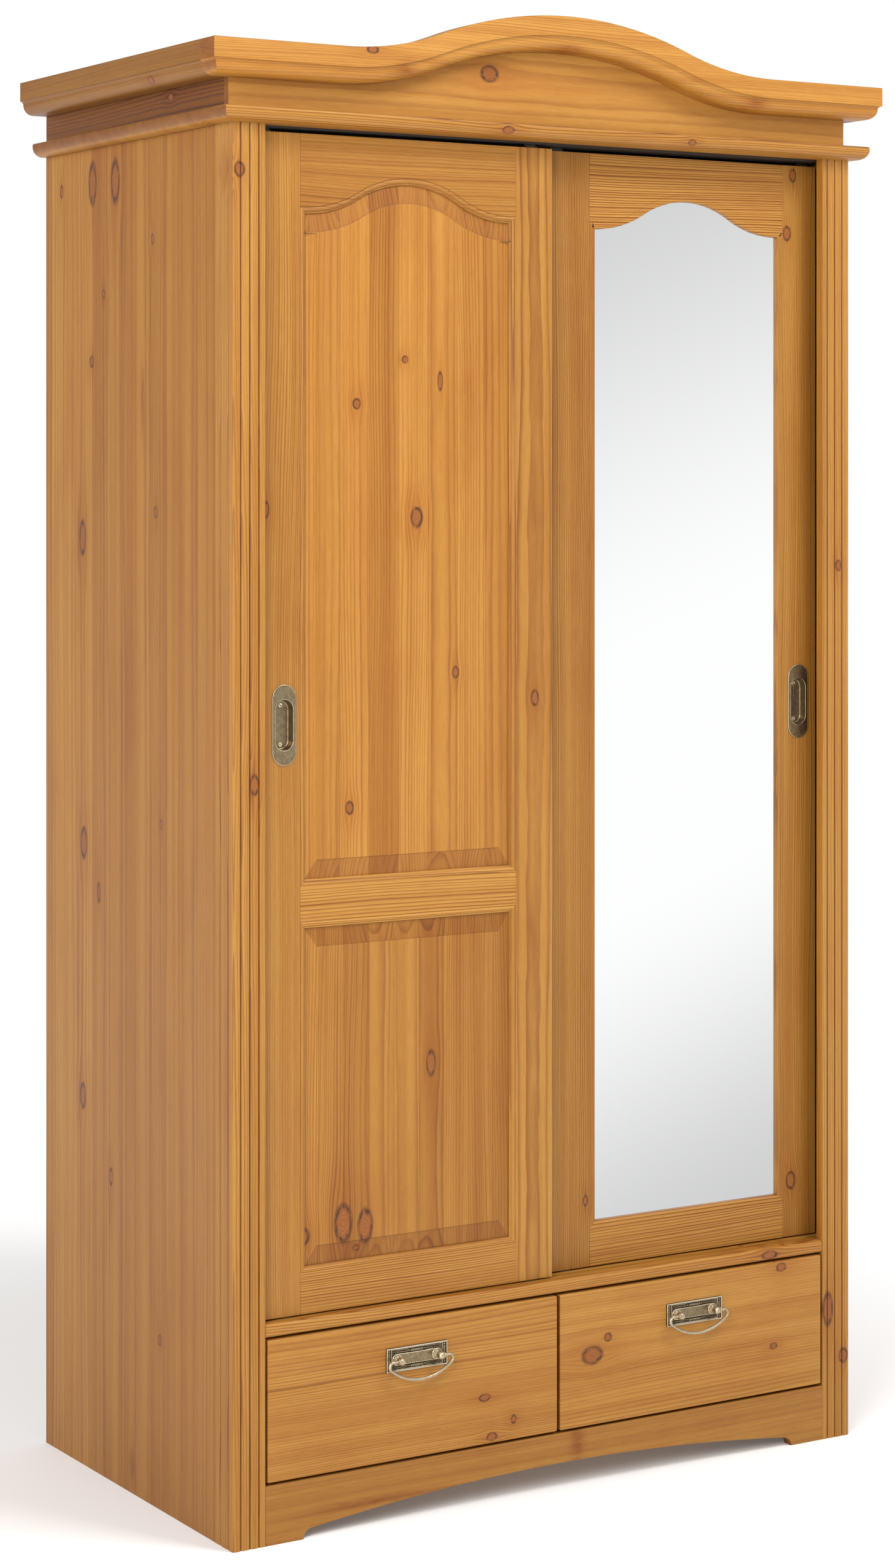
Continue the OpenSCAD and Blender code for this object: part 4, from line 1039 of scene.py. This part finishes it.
def flush_pull(node, front):
    """A slot-shaped plate and cup in one skin: each ring is a slot outline with its own
    radius, straight length and depth, from the plate's back, over its rim and down into
    the cup, and behind the cup back to the plate."""
    low, high = box(node)
    centre = ((low[0] + high[0]) / 2, (low[2] + high[2]) / 2)
    r, half = (high[0] - low[0]) / 2 / MM, (high[2] - low[2]) / 2 / MM
    s, c, k = half - r, 13.35, 34.3 - 13.35
    rows = [(r - 0.2, s, 0.0), (r, s, -0.3), (r, s, -1.0), (r - 0.3, s, -1.5), (r - 0.8, s, -1.6),
            (r - 1.2, s, -1.45), (r - 1.6, s, -1.25), (c + 1.6, k, -1.2), (c + 1.1, k, -1.3),
            (c + 0.7, k, -1.55), (c + 0.3, k, -1.5), (c, k, -1.1), (c - 0.2, k, 0.5),
            (c - 0.5, k, 8.5), (c - 0.9, k, 9.8), (c - 1.8, k, 10.7), (c - 3.0, k, 11.0),
            (2.0, k, 11.0), (2.0, k, 11.9), (c + 0.5, k, 11.9), (c + 1.0, k, 11.0),
            (c + 1.0, k, 0.05)]
    rings = np.array([placed(stadium(a * MM, b * MM, centre), front + d * MM, "xzy")
                      for a, b, d in rows])
    points, faces = strip(np.concatenate([rings, rings[:1]]))
    m, n = rings.shape[1], len(rings)
    faces = [tuple(i % (m * n) for i in f) for f in faces[:m * n]]
    floor = tuple(17 * m + i for i in range(m))
    under = tuple(18 * m + i for i in range(m))
    faces = [f for i, f in enumerate(faces) if not 17 * m <= i < 18 * m]
    points = points[:m * n]
    points, faces = outward(points, faces + [tuple(reversed(floor)), under])
    return points, faces


class WARDROBE_OT_left_door(bpy.types.Operator):
    """Panelled door: stiles, rails with mitred mouldings and two raised panels"""
    bl_idname = "wardrobe.left_door"
    bl_label = "Panelled door"

    def execute(self, context):
        joinery = context.scene.wardrobe_joinery
        door = Door("left", "left_door_outer_stile", "left_door_inner_stile")
        low, high = box("left_door_middle_rail")
        mid0, mid1 = low[2] + joinery.lip, high[2] - joinery.lip
        lower, upper = door.opening(door.bottom, mid0), door.opening(mid1)
        last = len(upper)
        pull = box("left_door_flush_pull")
        centre = ((pull[0][0] + pull[1][0]) / 2, (pull[0][2] + pull[1][2]) / 2)
        seat = stadium(14.35 * MM, 20.95 * MM, centre)

        def runs(outline, first, stop):
            return [door.moulding(outline, first, stop, STICKING),
                    door.moulding(outline, first, stop, REAR_LIP)]

        wood = pine("outer_stile_pine", "zxy", 41.0, (-0.60, door.front + 0.03), tint=0.92,
                    strength=0.6, knots=((1.388, -0.462, 0.0055, 2.0), (0.68, -0.485, 0.005, 2.0)))
        piece("left_door_stile_outer", [door.upright(True, seat, 12.2 * MM)]
              + runs(lower, 3, 4) + runs(upper, last - 1, last),
              "left_door", wood, ["left_door_outer_stile"])
        wood = pine("inner_stile_pine", "zxy", 42.0, (-0.035, door.front + 0.09), tint=0.94, strength=0.8,
                    knots=((1.12, -0.03, 0.006, 1.8),))
        piece("left_door_stile_inner", [door.upright(False)] + runs(lower, 1, 2) + runs(upper, 1, 2),
              "left_door", wood, ["left_door_inner_stile"])
        wood = pine("top_rail_pine", "xzy", 43.0, (1.72, door.front + 0.08), tint=0.86,
                    red=0.5, strength=0.6)
        piece("left_door_rail_top", [door.arched_rail()] + runs(upper, 2, last - 1),
              "left_door", wood, ["left_door_top_rail"])
        wood = pine("middle_rail_pine", "xzy", 44.0, (0.78, door.front + 0.06), tint=1.04,
                    strength=1.0)
        piece("left_door_rail_middle", [door.level(mid0, mid1)] + runs(lower, 2, 3)
              + runs(upper, 0, 1), "left_door", wood, ["left_door_middle_rail"])
        wood = pine("bottom_rail_pine", "xzy", 45.0, (0.24, door.front + 0.05), strength=1.0)
        piece("left_door_rail_bottom", [door.level(door.z0, door.bottom)] + runs(lower, 0, 1),
              "left_door", wood, ["left_door_bottom_rail"])
        wood = pine("upper_panel_pine", "zxy", 46.0, (0.02, door.front + 0.07), tint=1.12,
                    strength=0.5, staves=0.047, bevelled=True, knots=UPPER_PANEL_KNOTS)
        piece("left_door_panel_upper", [door.raised_panel(upper)], "left_door",
              wood, ["left_door_upper_panel"], crisp=4)
        wood = pine("lower_panel_pine", "zxy", 47.0, (0.01, door.front + 0.06), tint=1.0,
                    strength=0.6, staves=0.040, bevelled=True, knots=LOWER_PANEL_KNOTS)
        piece("left_door_panel_lower", [door.raised_panel(lower)], "left_door",
              wood, ["left_door_lower_panel"], crisp=4)
        return {"FINISHED"}


UPPER_PANEL_KNOTS = ((1.376, -0.223, 0.009, 1.5), (1.594, -0.242, 0.005, 1.0),
                     (1.565, -0.185, 0.004, 3.2), (1.532, -0.319, 0.006, 1.2),
                     (0.98, -0.33, 0.006, 1.5), (1.16, -0.16, 0.005, 1.6))
LOWER_PANEL_KNOTS = ((0.414, -0.340, 0.013, 1.9), (0.407, -0.305, 0.011, 2.0),
                     (0.402, -0.402, 0.010, 1.2), (0.378, -0.319, 0.005, 0.8),
                     (0.62, -0.20, 0.007, 2.4))


class WARDROBE_OT_right_door(bpy.types.Operator):
    """Mirrored door: frame with a plain rounded edge, the mirror and its backing"""
    bl_idname = "wardrobe.right_door"
    bl_label = "Mirrored door"

    def execute(self, context):
        door = Door("right", "right_door_inner_stile", "right_door_outer_stile")
        opening = door.opening(door.bottom)
        last = len(opening)
        pull = box("right_door_flush_pull")
        centre = ((pull[0][0] + pull[1][0]) / 2, (pull[0][2] + pull[1][2]) / 2)
        seat = stadium(14.35 * MM, 20.95 * MM, centre)
        wood = pine("right_inner_stile_pine", "zxy", 51.0, (0.30, door.front + 0.02), tint=0.84,
                    red=0.2, strength=1.0, ring=0.8, knots=((0.394, 0.071, 0.004, 1.8),))
        piece("right_door_stile_inner",
              [door.upright(True), door.moulding(opening, last - 1, last, ROUNDED)],
              "right_door", wood, ["right_door_inner_stile"])
        wood = pine("right_outer_stile_pine", "zxy", 52.0, (0.60, door.front + 0.04), tint=0.84,
                    red=0.2, strength=0.8, knots=((1.882, 0.444, 0.006, 1.6),
                                                  (1.795, 0.433, 0.007, 1.5),
                                                  (0.382, 0.440, 0.008, 1.6)))
        piece("right_door_stile_outer", [door.upright(False, seat, 12.2 * MM),
                                         door.moulding(opening, 1, 2, ROUNDED)],
              "right_door", wood, ["right_door_outer_stile"])
        wood = pine("right_top_rail_pine", "xzy", 53.0, (1.60, door.front + 0.02), strength=1.25,
                    ring=1.15)
        piece("right_door_rail_top",
              [door.arched_rail(), door.moulding(opening, 2, last - 1, ROUNDED)],
              "right_door", wood, ["right_door_top_rail"])
        wood = pine("right_bottom_rail_pine", "xzy", 54.0, (0.20, door.front + 0.02),
                    strength=1.25, ring=1.15)
        piece("right_door_rail_bottom",
              [door.level(door.z0, door.bottom), door.moulding(opening, 0, 1, ROUNDED)],
              "right_door", wood, ["right_door_bottom_rail"])
        dress("mirror_glass", mirror_finish())
        dress("mirror_backing", pine("backing_pine", "zxy", 55.0, (0.2, 0.1),
                                                   oiled=False, strength=0.6, staves=0.09))
        return {"FINISHED"}


def dress(node, material):
    """Gives a node of the frame its finish; its shape is already right."""
    thing = frame["nodes"][node]
    thing.data.materials.clear()
    thing.data.materials.append(material)


# ---- drawers ----

class WARDROBE_OT_drawers(bpy.types.Operator):
    """Drawer fronts with eased edges and their boxes"""
    bl_idname = "wardrobe.drawers"
    bl_label = "Drawers"

    def execute(self, context):
        fronts = {"left": dict(seed=61.0, pith=(0.30, FRONT + 0.07), strength=0.55,
                               knots=LEFT_DRAWER_KNOTS),
                  "right": dict(seed=62.0, pith=(0.06, FRONT + 0.06), strength=0.55,
                                knots=RIGHT_DRAWER_KNOTS)}
        for hand, made in fronts.items():
            body = f"{hand}_drawer"
            low, high = box(f"{hand}_drawer_front")
            wood = pine(f"{hand}_drawer_pine", "xzy", **made)
            outline = rectangle([low[0], low[2]], [high[0], high[2]], 3.0 * MM, 4)
            piece(f"{hand}_drawer_face", [slab(outline, low[1], high[1], 2.6 * MM, steps=5)],
                  body, wood, [f"{hand}_drawer_front"])
            bare = pine(f"{hand}_drawer_box_pine", "yzx", made["seed"] + 3, (0.3, 0.1),
                        oiled=False, strength=0.6)
            low, high = box(f"{hand}_drawer_sides")
            t = 12 * MM
            sides = [board([low[0], low[1], low[2]], [low[0] + t, high[1], high[2]], 0.8 * MM, "yzx"),
                     board([high[0] - t, low[1], low[2]], high, 0.8 * MM, "yzx")]
            piece(f"{hand}_drawer_side_boards", sides, body, bare,
                  [f"{hand}_drawer_sides"])
            cross = pine(f"{hand}_drawer_back_pine", "xzy", made["seed"] + 5, (0.3, 0.1),
                         oiled=False, strength=0.6)
            piece(f"{hand}_drawer_back_board",
                  [board(*box(f"{hand}_drawer_back"), 0.8 * MM)], body, cross,
                  [f"{hand}_drawer_back"])
            dress(f"{hand}_drawer_bottom",
                  pine(f"{hand}_drawer_floor_pine", "xyz", made["seed"] + 7, (0.0, -0.2),
                       oiled=False, strength=0.4, staves=0.12))
        return {"FINISHED"}


LEFT_DRAWER_KNOTS = ((-0.112, 0.093, 0.0055, 1.5), (-0.076, 0.112, 0.006, 0.7),
                     (-0.124, 0.149, 0.005, 1.8))
RIGHT_DRAWER_KNOTS = ((0.057, 0.183, 0.012, 1.4), (0.379, 0.152, 0.0045, 1.4),
                      (0.393, 0.266, 0.006, 1.4), (0.084, 0.205, 0.006, 1.0))


# ---- fittings ----

def pull_relief(x, z, half_x, half_z):
    """Height of a drawer pull's relief over its face, from 0 to 1.1; sizes are in millimetres.

    A ridge is a bell curve of the distance to a rectangle. The rim and two nested frames are
    ridges; between the frames run fine waves, broken top and bottom by a bar with a bead at
    each end; rivets sit in the four corners."""
    def to_rectangle(a, b):
        return np.maximum(np.abs(x) - a, np.abs(z) - b)

    def ridge(distance, width):
        return np.exp(-(distance / width) ** 2)

    edge = -to_rectangle(half_x, half_z)
    outer = to_rectangle(half_x - 8.2, half_z - 2.7)
    inner = to_rectangle(half_x - 14.8, half_z - 9.6)
    height = 0.5 * np.ones_like(x)
    band = (outer < -0.4) & (inner > 0.4)
    waves = 0.22 + 0.26 * np.sin(2.6 * np.abs(z) + 0.9 * np.sin(0.42 * np.abs(x)) * 2.0
                                 + 1.2 * np.sin(0.21 * x + z * 0.1))
    height = np.where(band, waves, height)
    bar = (np.abs(x) < 10.5) & (np.abs(np.abs(z) - half_z + 6.2) < 1.5)
    quiet = (np.abs(x) < 14.5) & (np.abs(np.abs(z) - half_z + 6.2) < 2.6)
    height = np.where(band & quiet, 0.10, height)
    height = np.where(bar, 0.62, height)
    bead = np.hypot(np.abs(x) - 12.6, np.abs(z) - half_z + 6.2)
    rivet = np.hypot(np.abs(x) - half_x + 4.6, np.abs(z) - half_z + 4.6)
    gutter = np.exp(-((edge - 2.6) / 0.6) ** 2) + np.exp(-((outer - 1.2) / 0.5) ** 2)
    height = height - 0.5 * np.clip(gutter, 0, 1)
    height = np.where(edge < 2.0, 0.95, height)
    for line, width in ((outer, 0.55), (inner, 0.6)):
        height = np.maximum(height, ridge(line, width))
    height = np.maximum(height, 1.05 * ridge(bead, 0.9))
    height = np.where(rivet < 2.2, 0.05, height)
    height = np.maximum(height, 1.1 * ridge(rivet, 1.1))
    height *= np.clip(edge / 0.7, 0, 1) ** 0.5
    return np.clip(height, 0, 1.1)


def pull_plate(node):
    """The plate as a grid: its front stands at the relief's height, its back is flat."""
    low, high = box(node)
    half_x, half_z = (high[0] - low[0]) / 2 / MM, (high[2] - low[2]) / 2 / MM
    u = np.linspace(-half_x, half_x, 281)
    v = np.linspace(-half_z, half_z, 105)
    x, z = np.meshgrid(u, v)
    height = pull_relief(x, z, half_x, half_z)
    corner = np.hypot(np.maximum(np.abs(x) - half_x + 2, 0), np.maximum(np.abs(z) - half_z + 2, 0))
    shrink = np.where(corner > 2, 2 / np.maximum(corner, 2), 1.0)
    x = np.sign(x) * np.where(corner > 2, half_x - 2 + (np.abs(x) - half_x + 2) * shrink, np.abs(x))
    z = np.sign(z) * np.where(corner > 2, half_z - 2 + (np.abs(z) - half_z + 2) * shrink, np.abs(z))
    middle = ((low[0] + high[0]) / 2, (low[2] + high[2]) / 2)
    face = np.stack([x * MM + middle[0], high[1] - (0.9 + 1.25 * height) * MM,
                     z * MM + middle[1]], -1)
    back = face.copy()
    back[..., 1] = high[1]
    n, m = x.shape
    points = np.concatenate([face.reshape(-1, 3), back.reshape(-1, 3)])
    i = (np.arange(n - 1)[:, None] * m + np.arange(m - 1)[None, :]).ravel()
    front = np.stack([i, i + 1, i + m + 1, i + m], 1)
    rim = np.concatenate([np.arange(m - 1), np.arange(n - 1) * m + m - 1,
                          n * m - 1 - np.arange(m - 1), (n - 1 - np.arange(n - 1)) * m])
    after = np.roll(rim, -1)
    sides = np.stack([rim, rim + n * m, after + n * m, after], 1)
    faces = [tuple(f) for f in np.concatenate([front, sides])]
    faces.append(tuple(n * m + i for i in rim))
    relief = np.concatenate([height.ravel(), np.zeros(n * m)])
    return outward(points, faces), relief


def pull_post(centre, sign):
    """A bolt of the pull: a stepped rosette, a waisted stem, and a barrel head lying along
    the bail's pins."""
    x, y, z = centre
    face = FRONT - 2.0 * MM
    rosette = [[0, 1.0], [8.0, 1.0], [8.0, 0.0], [7.6, -0.6], [6.9, -0.8], [6.3, -0.5], [5.7, -0.6],
               [5.2, -1.1], [4.6, -1.6], [3.6, -1.9], [2.7, -2.8], [2.5, -4.5], [2.9, -6.5],
               [3.6, -7.6], [0, -7.6]]
    barrel = [[0, -5.0], [1.6, -5.0], [3.2, -4.8], [4.3, -4.1], [5.0, -2.8], [5.35, -1.2],
              [5.45, 0], [5.35, 1.2], [5.0, 2.6], [4.4, 3.6], [4.6, 4.1], [4.5, 4.7],
              [3.9, 5.0], [0, 5.0]]
    scale = np.array([1, 1]) * MM
    return [lathe(np.array(rosette) * scale, (x, face, z), "y"),
            lathe(np.array(barrel) * scale * [1, sign], (x, y, z), "x")]


def bail_path(half, drop, bend, pin):
    """Half of the bail from its pin: straight out, round a tight bend, then one wide bow
    whose circle meets the bend on a common tangent and lies level at the middle."""
    reach = half - bend
    lean = math.pi / 2 - 2 * math.atan((drop - 2 * bend) / reach)
    bow = reach / math.cos(lean) + bend
    lean_deg = math.degrees(lean)
    straight = np.stack([np.linspace(pin, reach, 6)[:-1], np.zeros(5)], 1)
    tight = arc((reach, -bend), bend, 90, -lean_deg, 14)
    wide = arc((0, bow - drop), bow, -lean_deg, -90, 26)[1:]
    return np.concatenate([straight, tight, wide])


class WARDROBE_OT_drawer_pulls(bpy.types.Operator):
    """Antique brass plates, bolts and bails on the drawers"""
    bl_idname = "wardrobe.drawer_pulls"
    bl_label = "Drawer pulls"

    def execute(self, context):
        fittings = context.scene.wardrobe_fittings
        engraved = antique_brass("engraved_brass", relief=True)
        plain = antique_brass("plain_brass", shade=1.35)
        for hand in ("left", "right"):
            plate, relief = pull_plate(f"{hand}_drawer_pull_plate")
            piece(f"{hand}_pull_plate_face", [plate], f"{hand}_drawer",
                  engraved, [f"{hand}_drawer_pull_plate"], relief=relief)
            joint = next(j for j in frame["joints"] if j["name"] == f"{hand}_bail_swing")
            centre = np.array(joint["pos_m"])
            parts = []
            for sign in (-1, 1):
                post = centre + [sign * 32 * MM, 0, 0]
                parts += pull_post(post, sign)
                nut = [[0, 20.2], [4.9, 20.2], [5.0, 20.6], [5.0, 23.6], [4.6, 24], [2.5, 24],
                       [2.4, 25], [0, 25]]
                parts.append(lathe(np.array(nut) * MM, (post[0], FRONT, post[2]), "y", 24))
            piece(f"{hand}_pull_bolts", parts, f"{hand}_drawer", plain,
                  [f"{hand}_drawer_pull_posts"])
            low, high = box(f"{hand}_drawer_bail")
            half = (high[0] - low[0]) / 2 - fittings.bail_radius
            drop = centre[2] - low[2] - fittings.bail_radius
            right = bail_path(half / MM, drop / MM, 6.0, 32.5) * MM
            flat = np.concatenate([right, right[::-1][1:] * [-1, 1]])
            path = centre + np.stack([flat[:, 0], 0 * flat[:, 0], flat[:, 1]], 1)
            span = np.linspace(-1, 1, len(path))
            radii = fittings.bail_radius * (1.0 - 0.10 * np.exp(-((np.abs(span) - 0.55) / 0.2) ** 2))
            piece(f"{hand}_bail_rod", [rod(path, radii)], f"{hand}_bail",
                  plain, [f"{hand}_drawer_bail"])
        return {"FINISHED"}


class WARDROBE_OT_flush_pulls(bpy.types.Operator):
    """Flush pulls let into the door stiles, with their screws"""
    bl_idname = "wardrobe.flush_pulls"
    bl_label = "Flush pulls"

    def execute(self, context):
        brass = antique_brass("pull_brass")
        screw_brass = antique_brass("screw_brass", shade=1.6)
        for hand in ("left", "right"):
            node = f"{hand}_door_flush_pull"
            front = box(f"{hand}_door_outer_stile")[0][1]
            piece(f"{hand}_flush_pull_shell", [flush_pull(node, front)], f"{hand}_door",
                  brass, [node])
            low, high = box(f"{hand}_door_pull_screws")
            x = (low[0] + high[0]) / 2
            head = [[0, -0.2], [0.5, -0.2], [1.4, -0.9], [2.3, -1.2], [2.9, -0.9], [3.0, -0.1],
                    [3.0, 0.0], [1.5, 0.1], [1.5, 5.5], [0, 5.5]]
            parts = [lathe(np.array(head) * MM, (x, front + 11 * MM, z), "y", 20)
                     for z in (low[2] + 3 * MM, high[2] - 3 * MM)]
            piece(f"{hand}_pull_screw_heads", parts, f"{hand}_door",
                  screw_brass, [f"{hand}_door_pull_screws"])
        return {"FINISHED"}


class WARDROBE_OT_inside(bpy.types.Operator):
    """Inner boards, shelf, rail, track and glides"""
    bl_idname = "wardrobe.inside"
    bl_label = "Inside fittings"

    def execute(self, context):
        arris = context.scene.wardrobe_timber.arris
        faces = {"rear_plinth": ("xzy", "xzy"), "bottom_board": ("xyz", "xyz"),
                 "drawer_divider": ("yzx", "yzx"), "hat_shelf": ("xyz", "xyz")}
        for i, (node, (face, grain)) in enumerate(faces.items()):
            wood = pine(f"{node}_pine", grain, 71.0 + i, (0.1, -0.4), oiled=False,
                        strength=0.6, staves=0.0 if node == "rear_plinth" else 0.085)
            piece(f"{node}_eased", [board(*box(node), arris, face)], "carcass",
                  wood, [node])
        for node, t in (("shelf_battens", 18 * MM), ("drawer_guides", None)):
            low, high = box(node)
            t = t or high[0] - box("right_drawer_front")[1][0] + 0.5 * MM
            wood = pine(f"{node}_pine", "yzx", 76.0, (0.1, 0.3), oiled=False, strength=0.6)
            pair = [board(low, [low[0] + t, high[1], high[2]], arris, "yzx"),
                    board([high[0] - t, low[1], low[2]], high, arris, "yzx")]
            piece(f"{node}_eased", pair, "carcass", wood, [node])
        low, high = box("hanging_rail")
        r, y, z = (high[2] - low[2]) / 2, (low[1] + high[1]) / 2, (low[2] + high[2]) / 2
        ends = [[0, low[0]], [r - 1 * MM, low[0]], [r, low[0] + 1 * MM],
                [r, high[0] - 1 * MM], [r - 1 * MM, high[0]], [0, high[0]]]
        wood = pine("rail_pine", "xzy", 78.0, (1.5, 0.0), oiled=False, strength=0.7)
        piece("turned_rail", [lathe(ends, (0, y, z), "x", 48)], "carcass", wood,
              ["hanging_rail"])
        socket = np.array([[12.5, 0.0], [27, 0.0], [27, 2.0], [26, 3.0], [17.5, 3.2], [17, 4.0],
                           [17, 16], [16, 17], [13.2, 17], [12.5, 16]]) * MM
        parts = []
        for sign in (-1, 1):
            edge = low[0] - 3 * MM if sign < 0 else high[0] + 3 * MM
            t = np.linspace(0, 2 * math.pi, 49)[:-1]
            ring = np.stack([edge - sign * socket[:, 1][:, None] + 0 * t,
                             y + socket[:, :1] * np.cos(t), z + socket[:, :1] * np.sin(t)], -1)
            ring = np.concatenate([ring, ring[:1]])
            points, quads = strip(ring)
            size = len(socket) * len(t)
            parts.append(outward(points[:size], [tuple(i % size for i in f) for f in quads]))
        wood = pine("socket_pine", "zyx", 79.0, (0.0, 0.0), tint=0.9)
        piece("rail_socket_rings", parts, "carcass", wood, ["rail_sockets"])
        dress("crown_blocks", pine("block_pine", "xzy", 80.0, (1.9, 0.0),
                                                 oiled=False, strength=0.6))
        track_brown = plastic("track_plastic", (0.022, 0.013, 0.009), 0.35)
        nylon = plastic("glide_nylon", (0.035, 0.024, 0.018), 0.45)
        dress("door_top_track", track_brown)
        for hand in ("left", "right"):
            dress(f"{hand}_door_top_guides", track_brown)
            dress(f"{hand}_door_glides", nylon)
        return {"FINISHED"}


# ---- stage ----

class WARDROBE_OT_stage(bpy.types.Operator):
    """Pale floor, soft light and the camera"""
    bl_idname = "wardrobe.stage"
    bl_label = "Stage"

    def execute(self, context):
        settings = context.scene.wardrobe_stage
        scene = context.scene
        scene.view_settings.view_transform = "Standard"
        self.surroundings(settings.ambient)
        self.floor()
        self.reflector()
        self.lamp("key", settings.key_power, (1.3, -2.6, 4.4), (0.0, 0.0, 1.0), 1.5)
        self.lamp("fill", settings.fill_power, (-3.4, -3.0, 2.6), (0.0, 0.0, 1.1), 1.8)
        lens = bpy.data.cameras.new("camera")
        lens.lens = settings.lens
        lens.sensor_width = 36.0
        lens.sensor_fit = "AUTO"
        lens.shift_y = -0.195
        lens.clip_end = 100.0
        camera = bpy.data.objects.new("camera", lens)
        scene.collection.objects.link(camera)
        aim(camera, (-2.5748, -4.168, 1.4301), (-2.5748 + 0.524, -4.168 + 0.852, 1.4301))
        scene.camera = camera
        return {"FINISHED"}

    def surroundings(self, strength):
        """White all round: full white behind the piece, softer as a source of light."""
        world = bpy.data.worlds.new("white_studio")
        world.use_nodes = True
        tree = world.node_tree
        sky = tree.nodes["Background"]
        sky.inputs["Color"].default_value = (1, 1, 1, 1)
        seen = Field(tree, tree.nodes.new("ShaderNodeLightPath").outputs["Is Camera Ray"])
        feed(sky.inputs["Strength"], seen * (1.0 - strength) + strength)
        bpy.context.scene.world = world

    def lamp(self, name, power, place, target, size):
        """A square soft light."""
        light = bpy.data.lights.new(name, "AREA")
        light.energy = power
        light.shape = "SQUARE"
        light.size = size
        lamp = bpy.data.objects.new(name, light)
        bpy.context.scene.collection.objects.link(lamp)
        aim(lamp, place, target)

    def floor(self):
        """A wide plain sheet, level with the feet, glowing to white away from the piece."""
        mesh = bpy.data.meshes.new("floor")
        wide = 30.0
        mesh.from_pydata([(-wide, -wide, 0), (wide, -wide, 0), (wide, wide, 0), (-wide, wide, 0)],
                         [], [(0, 1, 2, 3)])
        sheet = bpy.data.objects.new("floor", mesh)
        bpy.context.scene.collection.objects.link(sheet)
        material, tree, shader = new_material("floor_paper")
        shader.inputs["Base Color"].default_value = (0.93, 0.93, 0.93, 1)
        shader.inputs["Roughness"].default_value = 0.9
        x, y, _ = coordinates(tree)
        away = (x * x + (y - 0.2) * (y - 0.2)).do("SQRT").smooth(0.7, 2.6)
        shader.inputs["Emission Color"].default_value = (1, 1, 1, 1)
        feed(shader.inputs["Emission Strength"], away * 0.50 + 0.08)
        mesh.materials.append(material)

    def reflector(self):
        """A glowing card that only reflections see: bright across the middle, greyer above
        and below, so that the mirror shows a soft slanting band."""
        mesh = bpy.data.meshes.new("reflector")
        y = -1.10
        mesh.from_pydata([(0.3, y, -0.2), (1.5, y, -0.2), (1.5, y, 2.4), (0.3, y, 2.4)], [],
                         [(3, 2, 1, 0)])
        card = bpy.data.objects.new("reflector", mesh)
        bpy.context.scene.collection.objects.link(card)
        material = bpy.data.materials.new("reflector_glow")
        material.use_nodes = True
        tree = material.node_tree
        tree.nodes.clear()
        x, _, z = coordinates(tree)
        slant = z - (x - 0.85) * 0.35
        band = slant.smooth(0.0, 0.75) * (1.0 - slant.smooth(1.1, 2.15))
        glow = tree.nodes.new("ShaderNodeEmission")
        feed(glow.inputs["Strength"], band * 0.40 + 0.66)
        out = tree.nodes.new("ShaderNodeOutputMaterial")
        tree.links.new(out.inputs[0], glow.outputs[0])
        mesh.materials.append(material)
        card.visible_camera = card.visible_diffuse = card.visible_shadow = False


def aim(thing, place, target):
    """Puts a lamp or camera at a place and points it at a target, upright."""
    thing.location = place
    way = Vector(target) - Vector(place)
    thing.rotation_euler = way.to_track_quat("-Z", "Y").to_euler()


class WARDROBE_PT_pieces(bpy.types.Panel):
    """Lists the pieces of the wardrobe and the values that shape them"""
    bl_label = "Pine wardrobe"
    bl_space_type = "VIEW_3D"
    bl_region_type = "UI"
    bl_category = "Wardrobe"

    def draw(self, context):
        for name in SETTINGS:
            group = getattr(context.scene, name)
            part = self.layout.box()
            for key in group.bl_rna.properties.keys():
                if key not in ("rna_type", "name"):
                    part.prop(group, key)
        for operator in OPERATORS:
            self.layout.operator(operator.bl_idname)


OPERATORS = (WARDROBE_OT_posts, WARDROBE_OT_side_panels, WARDROBE_OT_base, WARDROBE_OT_crown,
             WARDROBE_OT_left_door, WARDROBE_OT_right_door, WARDROBE_OT_drawers,
             WARDROBE_OT_flush_pulls, WARDROBE_OT_drawer_pulls, WARDROBE_OT_inside,
             WARDROBE_OT_stage)


def register():
    for group in SETTINGS.values():
        bpy.utils.register_class(group)
    for name, group in SETTINGS.items():
        setattr(bpy.types.Scene, name, bpy.props.PointerProperty(type=group))
    for operator in OPERATORS:
        bpy.utils.register_class(operator)
    bpy.utils.register_class(WARDROBE_PT_pieces)


def unregister():
    bpy.utils.unregister_class(WARDROBE_PT_pieces)
    for operator in reversed(OPERATORS):
        bpy.utils.unregister_class(operator)
    for name, group in SETTINGS.items():
        delattr(bpy.types.Scene, name)
        bpy.utils.unregister_class(group)


def main():
    """Builds every piece in order."""
    for thing in list(bpy.data.objects):
        if thing.name in ("Cube", "Light", "Camera"):
            bpy.data.objects.remove(thing)
    register()
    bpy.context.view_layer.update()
    for operator in OPERATORS:
        group, name = operator.bl_idname.split(".")
        getattr(getattr(bpy.ops, group), name)()


if __name__ == "__main__":
    main()
